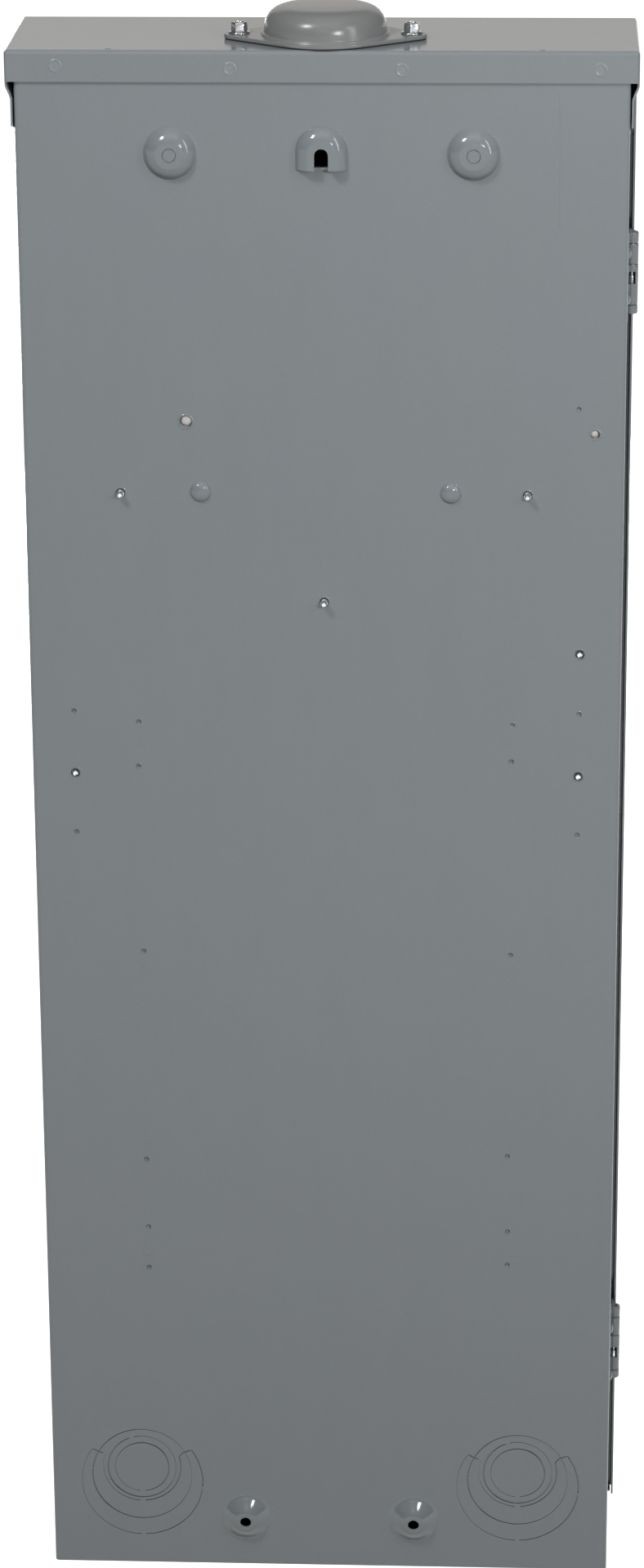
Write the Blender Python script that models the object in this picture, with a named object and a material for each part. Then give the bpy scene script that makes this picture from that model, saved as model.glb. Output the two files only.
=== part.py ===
"""Residential load center: a tall rainproof (outdoor) electrical panel with a side-hinged door.

Frame: +Z up, the front (door) faces -Y, the wall side faces +Y, the hinges are on -X.
The origin is the centre of the underside.  Dimensions below are millimetres; the
meshes are made in metres.
"""
import math

import bmesh
import bpy
from mathutils import Matrix, Vector

# ---------------------------------------------------------------- dimensions
MM = 0.001
HEIGHT = 1000.0          # underside to the top of the top cap
HALF_W = 181.0           # half width of the enclosure wrapper
BACK = 55.0              # outer face of the back panel (Y)
T_BODY = 1.4             # wrapper sheet
LIP_Y = -44.0            # front face of the wrapper's front lips
LIP_IN = 161.0           # inner edge of the lips
BODY_TOP = 997.5
T_CAP = 1.2              # top cap sheet
CAP_HALF = 186.0         # half width of the top cap
CAP_REAR = 56.5          # rear skirt, outer face
CAP_FRONT = -54.0        # front skirt, outer face
SKIRT = 18.6             # rear skirt height
BOSS_R = 16.0            # wall-mount bosses
BOSS_H = 6.5
TOP_BOSS_X, TOP_BOSS_Z = 89.5, 938.9
LOW_BOSS_X, LOW_BOSS_Z = 54.8, 34.0
HUB_X, HUB_Y = -1.0, 17.0
HUB_BOLT = 51.0          # hub cap screw spacing is twice this
DOOR_L, DOOR_R = -186.3, 184.5
DOOR_B, DOOR_T = 3.0, 978.0
DOOR_FRONT, DOOR_IN, DOOR_FLANGE = -54.0, -52.8, -40.0
HINGE_X, HINGE_Y, HINGE_R, PIN_R = -185.2, -34.0, 3.8, 1.8
GAP = 0.3                # clearance between pieces that sit together
PITCH = 25.4             # one breaker space
START = 502.4            # lowest edge of the fitted branch breakers
TOP_POLE = START + 3 * PITCH + 12.4   # centre of the top breaker space

for o in list(bpy.data.objects):
    bpy.data.objects.remove(o, do_unlink=True)

# ---------------------------------------------------------------- materials
def material(name, color, rough, metal=0.0):
    m = bpy.data.materials.new(name)
    m.use_nodes = True
    b = m.node_tree.nodes["Principled BSDF"]
    b.inputs["Base Color"].default_value = (*color, 1.0)
    b.inputs["Roughness"].default_value = rough
    b.inputs["Metallic"].default_value = metal
    return m

PAINT = ((0.235, 0.262, 0.278), 0.42, 0.0)
ZINC = ((0.62, 0.64, 0.65), 0.30, 1.0)
GALV = ((0.50, 0.52, 0.53), 0.45, 1.0)
ALUM = ((0.72, 0.73, 0.74), 0.38, 1.0)
TIN = ((0.66, 0.66, 0.65), 0.35, 1.0)
BLACK = ((0.018, 0.018, 0.020), 0.45, 0.0)
BASE_PLASTIC = ((0.045, 0.045, 0.050), 0.50, 0.0)
HANDLE = ((0.030, 0.030, 0.032), 0.35, 0.0)
RUBBER = ((0.025, 0.025, 0.026), 0.80, 0.0)
GREEN = ((0.05, 0.23, 0.10), 0.45, 0.0)

# ---------------------------------------------------------------- solid builders (mm)
def arc(cx, cy, r, a0, a1, n):
    return [(cx + r * math.cos(math.radians(a0 + (a1 - a0) * i / n)),
             cy + r * math.sin(math.radians(a0 + (a1 - a0) * i / n))) for i in range(n + 1)]

def circle(cx, cy, r, n, start=0.0):
    return [(cx + r * math.cos(math.radians(start) + 2 * math.pi * i / n),
             cy + r * math.sin(math.radians(start) + 2 * math.pi * i / n)) for i in range(n)]

def sheet(pts, t):
    """Closed outline of a bent sheet whose outer face follows pts; the metal lies to the right."""
    inner = []
    for i, p in enumerate(pts):
        dirs = []
        if i > 0:
            dirs.append((Vector(p) - Vector(pts[i - 1])).normalized())
        if i < len(pts) - 1:
            dirs.append((Vector(pts[i + 1]) - Vector(p)).normalized())
        ns = [Vector((d.y, -d.x)) for d in dirs]
        n = sum(ns, Vector((0.0, 0.0))).normalized()
        k = t / max(0.35, n.dot(ns[0]))
        inner.append((p[0] + n.x * k, p[1] + n.y * k))
    return list(pts) + inner[::-1]

def at(axis, a, p):
    if axis == "x":
        return (a, p[0], p[1])
    if axis == "y":
        return (p[0], a, p[1])
    return (p[0], p[1], a)

def prism(bm, pts, axis, a0, a1):
    lo = [bm.verts.new(at(axis, a0, p)) for p in pts]
    hi = [bm.verts.new(at(axis, a1, p)) for p in pts]
    n = len(pts)
    faces = [bm.faces.new(lo[::-1]), bm.faces.new(hi)]
    for i in range(n):
        j = (i + 1) % n
        faces.append(bm.faces.new((lo[i], lo[j], hi[j], hi[i])))
    return faces

def box(bm, x0, x1, y0, y1, z0, z1):
    return prism(bm, [(x0, y0), (x1, y0), (x1, y1), (x0, y1)], "z", z0, z1)

def cyl(bm, axis, c, r, a0, a1, n=12, start=0.0):
    return prism(bm, circle(c[0], c[1], r, n, start), axis, a0, a1)

def lathe(bm, axis, c, profile, n=20):
    """Solid of revolution; profile is (radius, height along axis) and starts and ends on the axis."""
    rings = []
    for r, a in profile:
        if r == 0.0:
            rings.append([bm.verts.new(at(axis, a, c))])
        else:
            rings.append([bm.verts.new(at(axis, a, p)) for p in circle(c[0], c[1], r, n)])
    for u, v in zip(rings, rings[1:]):
        for i in range(n):
            j = (i + 1) % n
            if len(u) == 1 and len(v) == 1:
                continue
            if len(u) == 1:
                bm.faces.new((u[0], v[i], v[j]))
            elif len(v) == 1:
                bm.faces.new((u[i], u[j], v[0]))
            else:
                bm.faces.new((u[i], u[j], v[j], v[i]))

def make(name, bm, look=None, origin=(0.0, 0.0, 0.0), smooth=None):
    bmesh.ops.recalc_face_normals(bm, faces=bm.faces[:])
    for v in bm.verts:
        v.co = (v.co - Vector(origin)) * MM
    me = bpy.data.meshes.new(name)
    bm.to_mesh(me)
    bm.free()
    o = bpy.data.objects.new(name, me)
    bpy.context.scene.collection.objects.link(o)
    o.location = Vector(origin) * MM
    if look:
        me.materials.append(material("mat_" + name, *look))
    if smooth:
        me.polygons.foreach_set("use_smooth", [True] * len(me.polygons))
        me.set_sharp_from_angle(angle=math.radians(smooth))
    return o

def boolean(o, operation, bm, tag):
    c = make("cut_" + tag, bm)
    c.hide_render = True
    c.display_type = "WIRE"
    m = o.modifiers.new(tag, "BOOLEAN")
    m.operation = operation
    m.solver = "EXACT"
    m.object = c
    return c

def new():
    return bmesh.new()

# ================================================================ ENCLOSURE
# Wrapper: one sheet bent into back, two sides and two front lips.
bm = new()
path = [(-LIP_IN, LIP_Y)] + arc(-178, -41, 3, 270, 180, 3) + arc(-178, 52, 3, 180, 90, 3) \
    + arc(178, 52, 3, 90, 0, 3) + arc(178, -41, 3, 0, -90, 3) + [(LIP_IN, LIP_Y)]
prism(bm, sheet(path, T_BODY), "z", 0.0, BODY_TOP)
wrapper = make("enclosure_wrapper", bm, PAINT)

# Drawn bosses that stand the box off the wall: three at the top, two at the bottom.
dome = [(0, 54.0), (BOSS_R, 54.0), (BOSS_R, 55.0), (15.0, 57.2), (12.2, 60.0), (7.6, BACK + BOSS_H), (0, BACK + BOSS_H)]
dome_in = [(0, 50.0), (14.5, 50.0), (14.5, 54.6), (13.6, 56.6), (11.4, 58.8), (7.2, 60.1), (0, 60.1)]
cone = [(0, 54.0), (15.8, 54.0), (15.8, 55.0), (14.4, 56.6), (8.6, 60.9), (7.0, BACK + BOSS_H), (0, BACK + BOSS_H)]
cone_in = [(0, 50.0), (14.3, 50.0), (14.3, 54.5), (13.2, 55.9), (7.6, 60.0), (0, 60.1)]
bm = new()
for x in (-TOP_BOSS_X, TOP_BOSS_X):
    lathe(bm, "y", (x, TOP_BOSS_Z), dome, 20)
for x in (-LOW_BOSS_X, LOW_BOSS_X):
    lathe(bm, "y", (x, LOW_BOSS_Z), cone, 20)
key = new()
lathe(key, "y", (0.0, 940.2), dome, 20)
geom = key.verts[:] + key.edges[:] + key.faces[:]
cut = bmesh.ops.bisect_plane(key, geom=geom, plane_co=(0, 0, 928.6), plane_no=(0, 0, -1), clear_outer=True)
bmesh.ops.holes_fill(key, edges=[e for e in key.edges if e.is_boundary])
tmp = bpy.data.meshes.new("tmp")
key.to_mesh(tmp)
bm.from_mesh(tmp)
key.free()
# Two small round locating bumps on the back panel.
for x in (74.3, -76.7):
    lathe(bm, "y", (x, 732.0), [(0, 54.0), (7.0, 54.0), (7.0, 55.0), (4.8, 56.0), (0, 56.4)], 12)
boolean(wrapper, "UNION", bm, "bosses_out")

bm = new()
for x in (-TOP_BOSS_X, TOP_BOSS_X):
    lathe(bm, "y", (x, TOP_BOSS_Z), dome_in, 20)
for x in (-LOW_BOSS_X, LOW_BOSS_X):
    lathe(bm, "y", (x, LOW_BOSS_Z), cone_in, 20)
key = new()
lathe(key, "y", (0.0, 940.2), dome_in, 20)
geom = key.verts[:] + key.edges[:] + key.faces[:]
bmesh.ops.bisect_plane(key, geom=geom, plane_co=(0, 0, 926.9), plane_no=(0, 0, -1), clear_outer=True)
bmesh.ops.holes_fill(key, edges=[e for e in key.edges if e.is_boundary])
tmp2 = bpy.data.meshes.new("tmp2")
key.to_mesh(tmp2)
bm.from_mesh(tmp2)
key.free()
boolean(wrapper, "DIFFERENCE", bm, "bosses_in")

# Keyhole slot, boss bolt holes, pierced holes in the back and the lip screw holes.
bm = new()
prism(bm, [(-4, 929.9)] + arc(0, 939.0, 4.0, 180, 0, 8) + [(4, 929.9)], "y", 57.0, 65.0)
for x in (-LOW_BOSS_X, LOW_BOSS_X):
    cyl(bm, "y", (x, 33.8), 3.6, 57.0, 65.0, 12)
SMALL = [(-153.1, 784.7), (154.4, 591.3), (114.6, 584.6), (115.2, 555.7), (154.6, 512.2),
         (-155.6, 591.9), (-155.4, 513.3), (-115.1, 584.5), (-114.5, 560.8), (114.4, 432.7),
         (-115.0, 432.9), (115.3, 290.0), (-114.1, 295.3), (114.9, 242.7), (115.2, 214.1),
         (-114.5, 242.9), (-114.5, 219.3)]
for x, z in SMALL:
    cyl(bm, "y", (x, z), 1.6, 50.0, 58.0, 8, 22.5)
TIPS = [(122.8, 730.8), (-122.9, 730.9), (0.0, 662.6)]
GROUND = [(-155.6, 630.6), (-155.6, 551.6), (154.4, 551.0)]
PLAIN = [(82.7, 775.6, 3.6), (-163.1, 769.1, 2.6)]
for x, z in TIPS + GROUND:
    cyl(bm, "y", (x, z), 2.9, 50.0, 58.0, 10)
for x, z, r in PLAIN:
    cyl(bm, "y", (x, z), r, 50.0, 58.0, 12)
SCREW_X, SCREW_Z = 164.6, (200.0, 930.0)
for x in (-SCREW_X, SCREW_X):
    for z in SCREW_Z:
        cyl(bm, "y", (x, z), 2.5, -50.0, -40.0, 8)
boolean(wrapper, "DIFFERENCE", bm, "back_holes")

# Nested knockouts low on the back, sheared almost through.
bm = new()
for kx in (-122.4, 122.4):
    for r, kz in ((17.4, 70.0), (25.4, 70.8), (39.5, 60.2)):
        outer = circle(kx, kz, r + 0.25, 24)
        inner = circle(kx, kz, r - 0.25, 24)
        vo0 = [bm.verts.new((x, 54.6, z)) for x, z in outer]
        vo1 = [bm.verts.new((x, 58.0, z)) for x, z in outer]
        vi0 = [bm.verts.new((x, 54.6, z)) for x, z in inner]
        vi1 = [bm.verts.new((x, 58.0, z)) for x, z in inner]
        for i in range(24):
            j = (i + 1) % 24
            bm.faces.new((vo0[i], vo0[j], vo1[j], vo1[i]))
            bm.faces.new((vi0[j], vi0[i], vi1[i], vi1[j]))
            bm.faces.new((vo0[j], vo0[i], vi0[i], vi0[j]))
            bm.faces.new((vo1[i], vo1[j], vi1[j], vi1[i]))
boolean(wrapper, "DIFFERENCE", bm, "knockout_scores")

# Bottom end wall: a shallow tray nested inside the wrapper.
bm = new()
def tray(half, y0, y1, c):
    return [(-half + c, y0), (half - c, y0), (half, y0 + c), (half, y1 - c), (half - c, y1), (-half + c, y1), (-half, y1 - c), (-half, y0 + c)]
prism(bm, tray(179.3, -42.2, 53.3, 2.2), "z", 0.0, 15.0)
bottom = make("bottom_endwall", bm, PAINT)
bm = new()
prism(bm, tray(177.9, -40.8, 51.9, 2.0), "z", 1.4, 20.0)
boolean(bottom, "DIFFERENCE", bm, "tray_inside")
bm = new()
for x, r in ((-115.0, 31.0), (60.0, 22.0), (125.0, 31.0)):
    outer = circle(x, 5.0, r + 0.3, 20)
    inner = circle(x, 5.0, r - 0.3, 20)
    a = [[bm.verts.new((p[0], p[1], z)) for p in c] for c, z in ((outer, -1.0), (outer, 0.5), (inner, 0.5), (inner, -1.0))]
    for u, v in zip(a, a[1:] + a[:1]):
        for i in range(20):
            j = (i + 1) % 20
            bm.faces.new((u[i], u[j], v[j], v[i]))
boolean(bottom, "DIFFERENCE", bm, "bottom_knockouts")

# Top cap: rain cap with a rear skirt outside the back panel and joggled side tabs.
bm = new()
side = [(-183.0, 954.0), (-183.0, 971.0), (-186.0, 979.8), (-186.0, 998.0)] + arc(-184, 998, 2, 180, 90, 2)[1:] \
    + arc(184, 998, 2, 90, 0, 2)[:-1] + [(186.0, 998.0), (186.0, 979.8), (183.0, 971.0), (183.0, 954.0)]
prism(bm, sheet(side, T_CAP), "y", -52.4, 54.6)
cap = make("top_cap", bm, PAINT)
bm = new()
span = [(CAP_FRONT, 980.0), (CAP_FRONT, 998.0)] + arc(-52, 998, 2, 180, 90, 2)[1:] \
    + arc(54.5, 998, 2, 90, 0, 2)[:-1] + [(CAP_REAR, 998.0), (CAP_REAR, HEIGHT - SKIRT)]
prism(bm, sheet(span, T_CAP), "x", -184.0, 184.0)
boolean(cap, "UNION", bm, "cap_span")
bm = new()
for s in (-1, 1):
    xs = sorted((s * 181.0, s * 190.0))
    box(bm, xs[0], xs[1], -60.0, -36.0, 940.0, 980.0)
cyl(bm, "z", (HUB_X, HUB_Y), 29.0, 990.0, 1005.0, 24)
for s in (-1, 1):
    cyl(bm, "z", (HUB_X + s * HUB_BOLT, HUB_Y), 2.9, 990.0, 1005.0, 10)
boolean(cap, "DIFFERENCE", bm, "cap_holes")

# Hub closing cap: two-eared plate with a drawn dome, on its own gasket.
def ears(R, r, d, n_big, n_small):
    a = math.degrees(math.asin((R - r) / d))
    pts = arc(d, 0, r, -90 + a, 90 - a, n_small)
    pts += arc(0, 0, R, 90 - a, 90 + a, n_big)
    pts += arc(-d, 0, r, 90 + a, 270 - a, n_small)
    pts += arc(0, 0, R, 270 - a, 270 + a, n_big)
    return [(HUB_X + x, HUB_Y + y) for x, y in pts]

bm = new()
prism(bm, ears(39.0, 8.6, HUB_BOLT, 8, 6), "z", 1000.2, 1001.0)
gasket = make("hub_gasket", bm, RUBBER)
bm = new()
cyl(bm, "z", (HUB_X, HUB_Y), 30.0, 998.0, 1003.0, 24)
for s in (-1, 1):
    cyl(bm, "z", (HUB_X + s * HUB_BOLT, HUB_Y), 2.9, 998.0, 1003.0, 10)
boolean(gasket, "DIFFERENCE", bm, "gasket_holes")

bm = new()
prism(bm, ears(39.5, 9.0, HUB_BOLT, 10, 8), "z", 1001.2, 1003.1)
hubcap = make("hub_closing_cap", bm, PAINT)
bm = new()
lathe(bm, "z", (HUB_X, HUB_Y), [(0, 1002.0), (38.3, 1002.0), (38.3, 1003.1), (37.4, 1004.4), (35.5, 1004.8), (35.5, 1010.5),
                                (34.2, 1015.8), (31.8, 1019.2), (28.6, 1020.6), (0, 1020.8)], 24)
boolean(hubcap, "UNION", bm, "hub_dome")
bm = new()
lathe(bm, "z", (HUB_X, HUB_Y), [(0, 1000.0), (34.3, 1000.0), (34.3, 1010.3), (33.0, 1015.0), (31.0, 1018.2), (28.2, 1019.4), (0, 1019.6)], 24)
for s in (-1, 1):
    cyl(bm, "z", (HUB_X + s * HUB_BOLT, HUB_Y), 2.9, 999.0, 1006.0, 10)
boolean(hubcap, "DIFFERENCE", bm, "hub_inside")

for s, tag in ((1, "left"), (-1, "right")):
    c = (HUB_X + s * HUB_BOLT, HUB_Y)
    bm = new()
    cyl(bm, "z", c, 2.4, 988.0, 1003.8, 10)
    screw = make("hub_screw_" + tag, bm, ZINC)
    bm = new()
    lathe(bm, "z", c, [(0, 1003.4), (6.4, 1003.4), (6.4, 1004.1), (5.2, 1004.6), (0, 1004.6)], 16)
    boolean(screw, "UNION", bm, "hub_washer_" + tag)
    bm = new()
    lathe(bm, "z", c, [(0, 1004.0), (4.8, 1004.0), (4.8, 1009.2), (4.0, 1009.9), (0, 1009.9)], 6)
    boolean(screw, "UNION", bm, "hub_hex_" + tag)

# ================================================================ DOOR AND HINGES
AXIS = (HINGE_X, HINGE_Y, 0.0)
bm = new()
prism(bm, [(DOOR_L, DOOR_FRONT + 1.0), (DOOR_L + 1.0, DOOR_FRONT), (DOOR_R - 1.0, DOOR_FRONT), (DOOR_R, DOOR_FRONT + 1.0), (DOOR_R, DOOR_FLANGE), (DOOR_L, DOOR_FLANGE)],
      "z", DOOR_B, DOOR_T)
door = make("door", bm, PAINT, (HINGE_X, HINGE_Y, 490.0))
bm = new()
box(bm, DOOR_L + 1.2, DOOR_R - 1.2, DOOR_IN, -30.0, DOOR_B + 1.2, DOOR_T - 1.2)
boolean(door, "DIFFERENCE", bm, "door_inside")
bm = new()
box(bm, -184.0, 182.0, -46.5, -30.0, -5.0, 10.0)
box(bm, -184.0, 182.0, -46.5, -30.0, 970.0, 990.0)
box(bm, 134.0, 152.0, -60.0, -50.0, 489.0, 511.0)
boolean(door, "DIFFERENCE", bm, "door_relief")

HINGES = (("upper", (873.4, 866.0, 853.1, 827.8, 821.8), (848.7, 841.8)), ("lower", (148.6, 140.6, 127.4, 102.2, 95.9), (119.0, 112.2)))
for tag, zs, window in HINGES:
    def knuckle(b, i):
        cyl(b, "z", (HINGE_X, HINGE_Y), HINGE_R, zs[i + 1] + 0.2, zs[i] - 0.2, 16)
    # fixed leaf: first and third knuckles, strap riveted to the side of the wrapper
    bm = new()
    knuckle(bm, 0)
    knuckle(bm, 2)
    leaf = make("hinge_%s_body_leaf" % tag, bm, PAINT)
    bm = new()
    box(bm, -182.6, -181.3, HINGE_Y + 5.0, -10.0, zs[4] + 0.2, zs[0] - 0.2)
    box(bm, -183.4, -181.6, HINGE_Y - 1.0, HINGE_Y + 6.0, zs[1] + 0.4, zs[0] - 0.4)
    box(bm, -183.4, -181.6, HINGE_Y - 1.0, HINGE_Y + 6.0, zs[3] + 0.4, zs[2] - 0.4)
    strap = make("cut_strap_" + tag, bm)
    strap.hide_render = True
    strap.display_type = "WIRE"
    m = leaf.modifiers.new("strap", "BOOLEAN")
    m.operation, m.solver, m.object, m.use_self = "UNION", "EXACT", strap, True
    bm = new()
    cyl(bm, "z", (HINGE_X, HINGE_Y), PIN_R + 0.4, zs[4] - 3.0, zs[0] + 3.0, 10)
    boolean(leaf, "DIFFERENCE", bm, "leaf_bore_" + tag)
    # window in the third knuckle through which the pin is seen
    bm = new()
    box(bm, -187.0, -184.2, -33.0, -28.0, window[1], window[0])
    boolean(leaf, "DIFFERENCE", bm, "leaf_window_" + tag)
    # moving leaf: second and fourth knuckles, strap welded inside the door flange
    bm = new()
    knuckle(bm, 1)
    knuckle(bm, 3)
    leaf = make("hinge_%s_door_leaf" % tag, bm, PAINT, (HINGE_X, HINGE_Y, zs[2]))
    bm = new()
    box(bm, -184.8, -183.6, -48.0, HINGE_Y - 5.0, zs[4] + 0.2, zs[0] - 0.2)
    box(bm, -184.9, -183.7, HINGE_Y - 6.0, HINGE_Y - 1.0, zs[2] + 0.5, zs[1] - 0.5)
    box(bm, -184.9, -183.7, HINGE_Y - 6.0, HINGE_Y - 1.0, zs[4] + 0.5, zs[3] - 0.5)
    strap = make("cut_doorstrap_" + tag, bm)
    strap.hide_render = True
    strap.display_type = "WIRE"
    m = leaf.modifiers.new("strap", "BOOLEAN")
    m.operation, m.solver, m.object, m.use_self = "UNION", "EXACT", strap, True
    bm = new()
    cyl(bm, "z", (HINGE_X, HINGE_Y), PIN_R + 0.4, zs[4] - 3.0, zs[0] + 3.0, 10)
    boolean(leaf, "DIFFERENCE", bm, "doorleaf_bore_" + tag)
    bm = new()
    cyl(bm, "z", (HINGE_X, HINGE_Y), PIN_R, zs[4] + 1.0, zs[0] - 1.5, 10)
    make("hinge_%s_pin" % tag, bm, ZINC)

# Latch: sliding bolt carried on the door, keeper on the wrapper's lip.
bm = new()
prism(bm, [(-52.4, 484.0), (-47.1, 484.0), (-47.1, 516.0), (-52.4, 516.0), (-52.4, 512.4), (-48.1, 512.4), (-48.1, 487.6), (-52.4, 487.6)], "x", 120.0, 160.0)
make("latch_guide", bm, GALV)
bm = new()
prism(bm, [(124.0, -52.3), (131.0, -52.3), (131.0, -52.3), (162.0, -52.3), (162.0, -49.8), (171.4, -49.8), (171.4, -48.5), (124.0, -48.5)][:2]
      + [(162.0, -52.3), (162.0, -49.8), (171.4, -49.8), (171.4, -48.5), (124.0, -48.5)], "z", 488.0, 512.0)
slide = make("latch_slide", bm, BLACK, (143.0, -50.0, 500.0))
bm = new()
box(bm, 136.0, 144.0, -57.0, -51.0, 491.0, 509.0)
boolean(slide, "UNION", bm, "latch_thumb")
bm = new()
prism(bm, [(169.0, -45.8), (169.0, -44.3), (180.5, -44.3), (180.5, -51.4), (172.0, -51.4), (172.0, -50.3), (179.2, -50.3), (179.2, -45.8)], "z", 486.0, 514.0)
make("latch_keeper", bm, GALV)

# ================================================================ DEAD FRONT
bm = new()
box(bm, -168.0, 168.0, -45.5, -44.3, 18.0, 960.0)
dead = make("deadfront", bm, PAINT)
bm = new()
COLS = ((-1, "left"), (1, "right"))
for s, _ in COLS:
    xs = sorted((s * 24.0, s * 64.0))
    box(bm, xs[0], xs[1], -50.0, -40.0, START - 2.0, START + 4 * PITCH + 1.4)
box(bm, -34.0, 34.0, -50.0, -40.0, 712.0, 790.0)
for x in (-SCREW_X, SCREW_X):
    for z in SCREW_Z:
        cyl(bm, "y", (x, z), 2.5, -50.0, -40.0, 8)
boolean(dead, "DIFFERENCE", bm, "deadfront_openings")
for x, tx in ((-SCREW_X, "left"), (SCREW_X, "right")):
    for z, tz in zip(SCREW_Z, ("lower", "upper")):
        bm = new()
        lathe(bm, "y", (x, z), [(0, -49.0), (3.0, -49.0), (4.4, -47.6), (4.4, -45.8), (2.0, -45.8), (2.0, -36.0), (0, -36.0)], 10)
        make("deadfront_screw_%s_%s" % (tz, tx), bm, ZINC)

# ================================================================ INTERIOR
# Galvanised pan on three drawn feet; screws run through the feet and the back panel.
bm = new()
box(bm, -130.0, 130.0, 40.0, 41.3, 210.0, 800.0)
pan = make("interior_pan", bm, GALV)
bm = new()
for x, z in TIPS:
    lathe(bm, "y", (x, z), [(0, 40.6), (10.0, 40.6), (10.0, 41.5), (7.0, 53.3), (0, 53.3)], 12)
for x in (-100.0, 100.0):
    box(bm, x - 9.0, x + 9.0, 40.6, 53.3, 222.0, 236.0)
boolean(pan, "UNION", bm, "pan_feet")
bm = new()
for x, z in TIPS:
    cyl(bm, "y", (x, z), 2.7, 30.0, 60.0, 8)
boolean(pan, "DIFFERENCE", bm, "pan_holes")
for (x, z), tag in zip(TIPS, ("right", "left", "centre")):
    bm = new()
    lathe(bm, "y", (x, z), [(0, 35.9), (3.6, 35.9), (5.0, 37.2), (5.0, 39.7), (2.3, 39.7), (2.3, 59.6), (1.2, 60.9), (0, 60.9)], 10)
    make("interior_screw_" + tag, bm, ZINC)

# Moulded base carrying the bus bars and the breakers' outer rails.
bm = new()
prism(bm, [(-84, 39.7), (-84, 18.4), (-76, 18.4), (-76, 30.0), (76, 30.0), (76, 18.4), (84, 18.4), (84, 39.7)], "z", 264.0, 640.0)
make("insulating_base", bm, BASE_PLASTIC)

# Bus bars: flat bars with alternate stab blades on the centre line.
for s, tag, zs in ((-1, "a", [TOP_POLE - PITCH * k for k in range(0, 12, 2)]), (1, "b", [TOP_POLE - PITCH * k for k in range(1, 12, 2)])):
    bm = new()
    prof = [(s * 24.0, 266.0), (s * 4.0, 266.0)]
    for z in sorted(zs):
        prof += [(s * 4.0, z - 6.0), (-s * 1.0, z - 6.0), (-s * 1.0, z + 6.0), (s * 4.0, z + 6.0)]
    prof += [(s * 4.0, 689.6), (s * 24.0, 689.6)]
    prism(bm, prof, "y", 25.0, 28.0)
    bus = make("bus_bar_" + tag, bm, TIN)
    bm = new()
    for z in zs:
        box(bm, -1.0, 1.0, 4.0, 27.0, z - 6.0, z + 6.0)
    boolean(bus, "UNION", bm, "stabs_" + tag)

# Neutral bars each side, tied by a strap at the bottom.
for s, tag in COLS:
    bm = new()
    xs = sorted((s * 98.0, s * 110.0))
    box(bm, xs[0], xs[1], 22.0, 33.0, 248.0, 610.0)
    neutral = make("neutral_bar_" + tag, bm, ALUM)
    bm = new()
    for i in range(12):
        cyl(bm, "y", (s * 104.0, 270.0 + i * 28.0), 2.6, 18.0, 27.0, 8)
    boolean(neutral, "DIFFERENCE", bm, "terminal_holes_" + tag)
    bm = new()
    xs = sorted((s * 96.0, s * 112.0))
    box(bm, xs[0], xs[1], 33.3, 39.7, 244.0, 614.0)
    make("neutral_insulator_" + tag, bm, BASE_PLASTIC)
bm = new()
prism(bm, [(-110.0, 21.7), (-110.0, 19.7), (110.0, 19.7), (110.0, 21.7), (97.0, 21.7), (97.0, 22.5), (-97.0, 22.5), (-97.0, 21.7)], "z", 246.0, 260.0)
make("neutral_cross_strap", bm, ALUM)
bm = new()
lathe(bm, "y", (119.0, 252.0), [(0, 16.0), (4.4, 16.0), (4.4, 39.7), (0, 39.7)], 10)
make("bonding_screw", bm, GREEN)

# Ground bars screwed to the back panel; the screw tips come out at the rear.
for tag, x, z0, z1, pts in (("left", -155.6, 530.0, 650.0, GROUND[:2]), ("right", 154.4, 520.0, 582.0, GROUND[2:])):
    bm = new()
    box(bm, x - 6.0, x + 6.0, 42.3, 53.3, z0, z1)
    bar = make("ground_bar_" + tag, bm, ALUM)
    bm = new()
    for px, pz in pts:
        cyl(bm, "y", (px, pz), 2.8, 36.0, 60.0, 8)
    for i in range(int((z1 - z0) / 22)):
        z = z0 + 9.0 + i * 22.0
        if all(abs(z - q[1]) > 6.5 for q in pts):
            cyl(bm, "y", (x, z), 2.2, 38.0, 47.0, 8)
    boolean(bar, "DIFFERENCE", bm, "ground_holes_" + tag)
    for i, (px, pz) in enumerate(pts):
        bm = new()
        lathe(bm, "y", (px, pz), [(0, 38.4), (4.6, 38.4), (4.6, 42.0), (2.2, 42.0), (2.2, 56.4), (1.0, 57.4), (0, 57.4)], 10)
        make("ground_screw_%s_%d" % (tag, i + 1), bm, ZINC)

# Main breaker: case, handle, line lugs with set screws.
bm = new()
box(bm, -52.0, 52.0, -37.0, 39.7, 690.0, 812.0)
main = make("main_breaker_case", bm, BLACK)
bm = new()
box(bm, -32.0, 32.0, -46.8, -30.0, 714.0, 788.0)
boolean(main, "UNION", bm, "main_nose")
bm = new()
box(bm, -13.0, 13.0, -60.0, -19.0, 732.0, 770.0)
boolean(main, "DIFFERENCE", bm, "main_handle_pocket")

# main handle turns about X; its profile is drawn in (z, y) and mapped to (y, z)
c, s = math.cos(math.radians(20)), math.sin(math.radians(20))
prof = [(-3.0, -18.6), (3.0, -18.6)] + arc(0, 0, 5.5, -55, 235, 9)
bm = new()
pts = [(-32.0 + (u * s + v * c), 751.0 + (u * c - v * s) * -1.0) for u, v in prof]
prism(bm, pts, "x", -11.5, 11.5)
make("main_breaker_handle", bm, HANDLE, (0.0, -32.0, 751.0))

for s_, tag in ((-1, "left"), (1, "right")):
    bm = new()
    xs = sorted((s_ * 12.0, s_ * 40.0))
    box(bm, xs[0], xs[1], -12.0, 18.0, 812.3, 842.0)
    lug = make("line_lug_" + tag, bm, ALUM)
    bm = new()
    cyl(bm, "y", (s_ * 26.0, 827.0), 5.3, -20.0, -4.0, 12)
    cyl(bm, "z", (s_ * 26.0, 6.5), 8.5, 830.0, 850.0, 14)
    boolean(lug, "DIFFERENCE", bm, "lug_holes_" + tag)
    bm = new()
    cyl(bm, "y", (s_ * 26.0, 827.0), 4.9, -16.0, -4.4, 12)
    make("line_lug_screw_" + tag, bm, ZINC)

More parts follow.
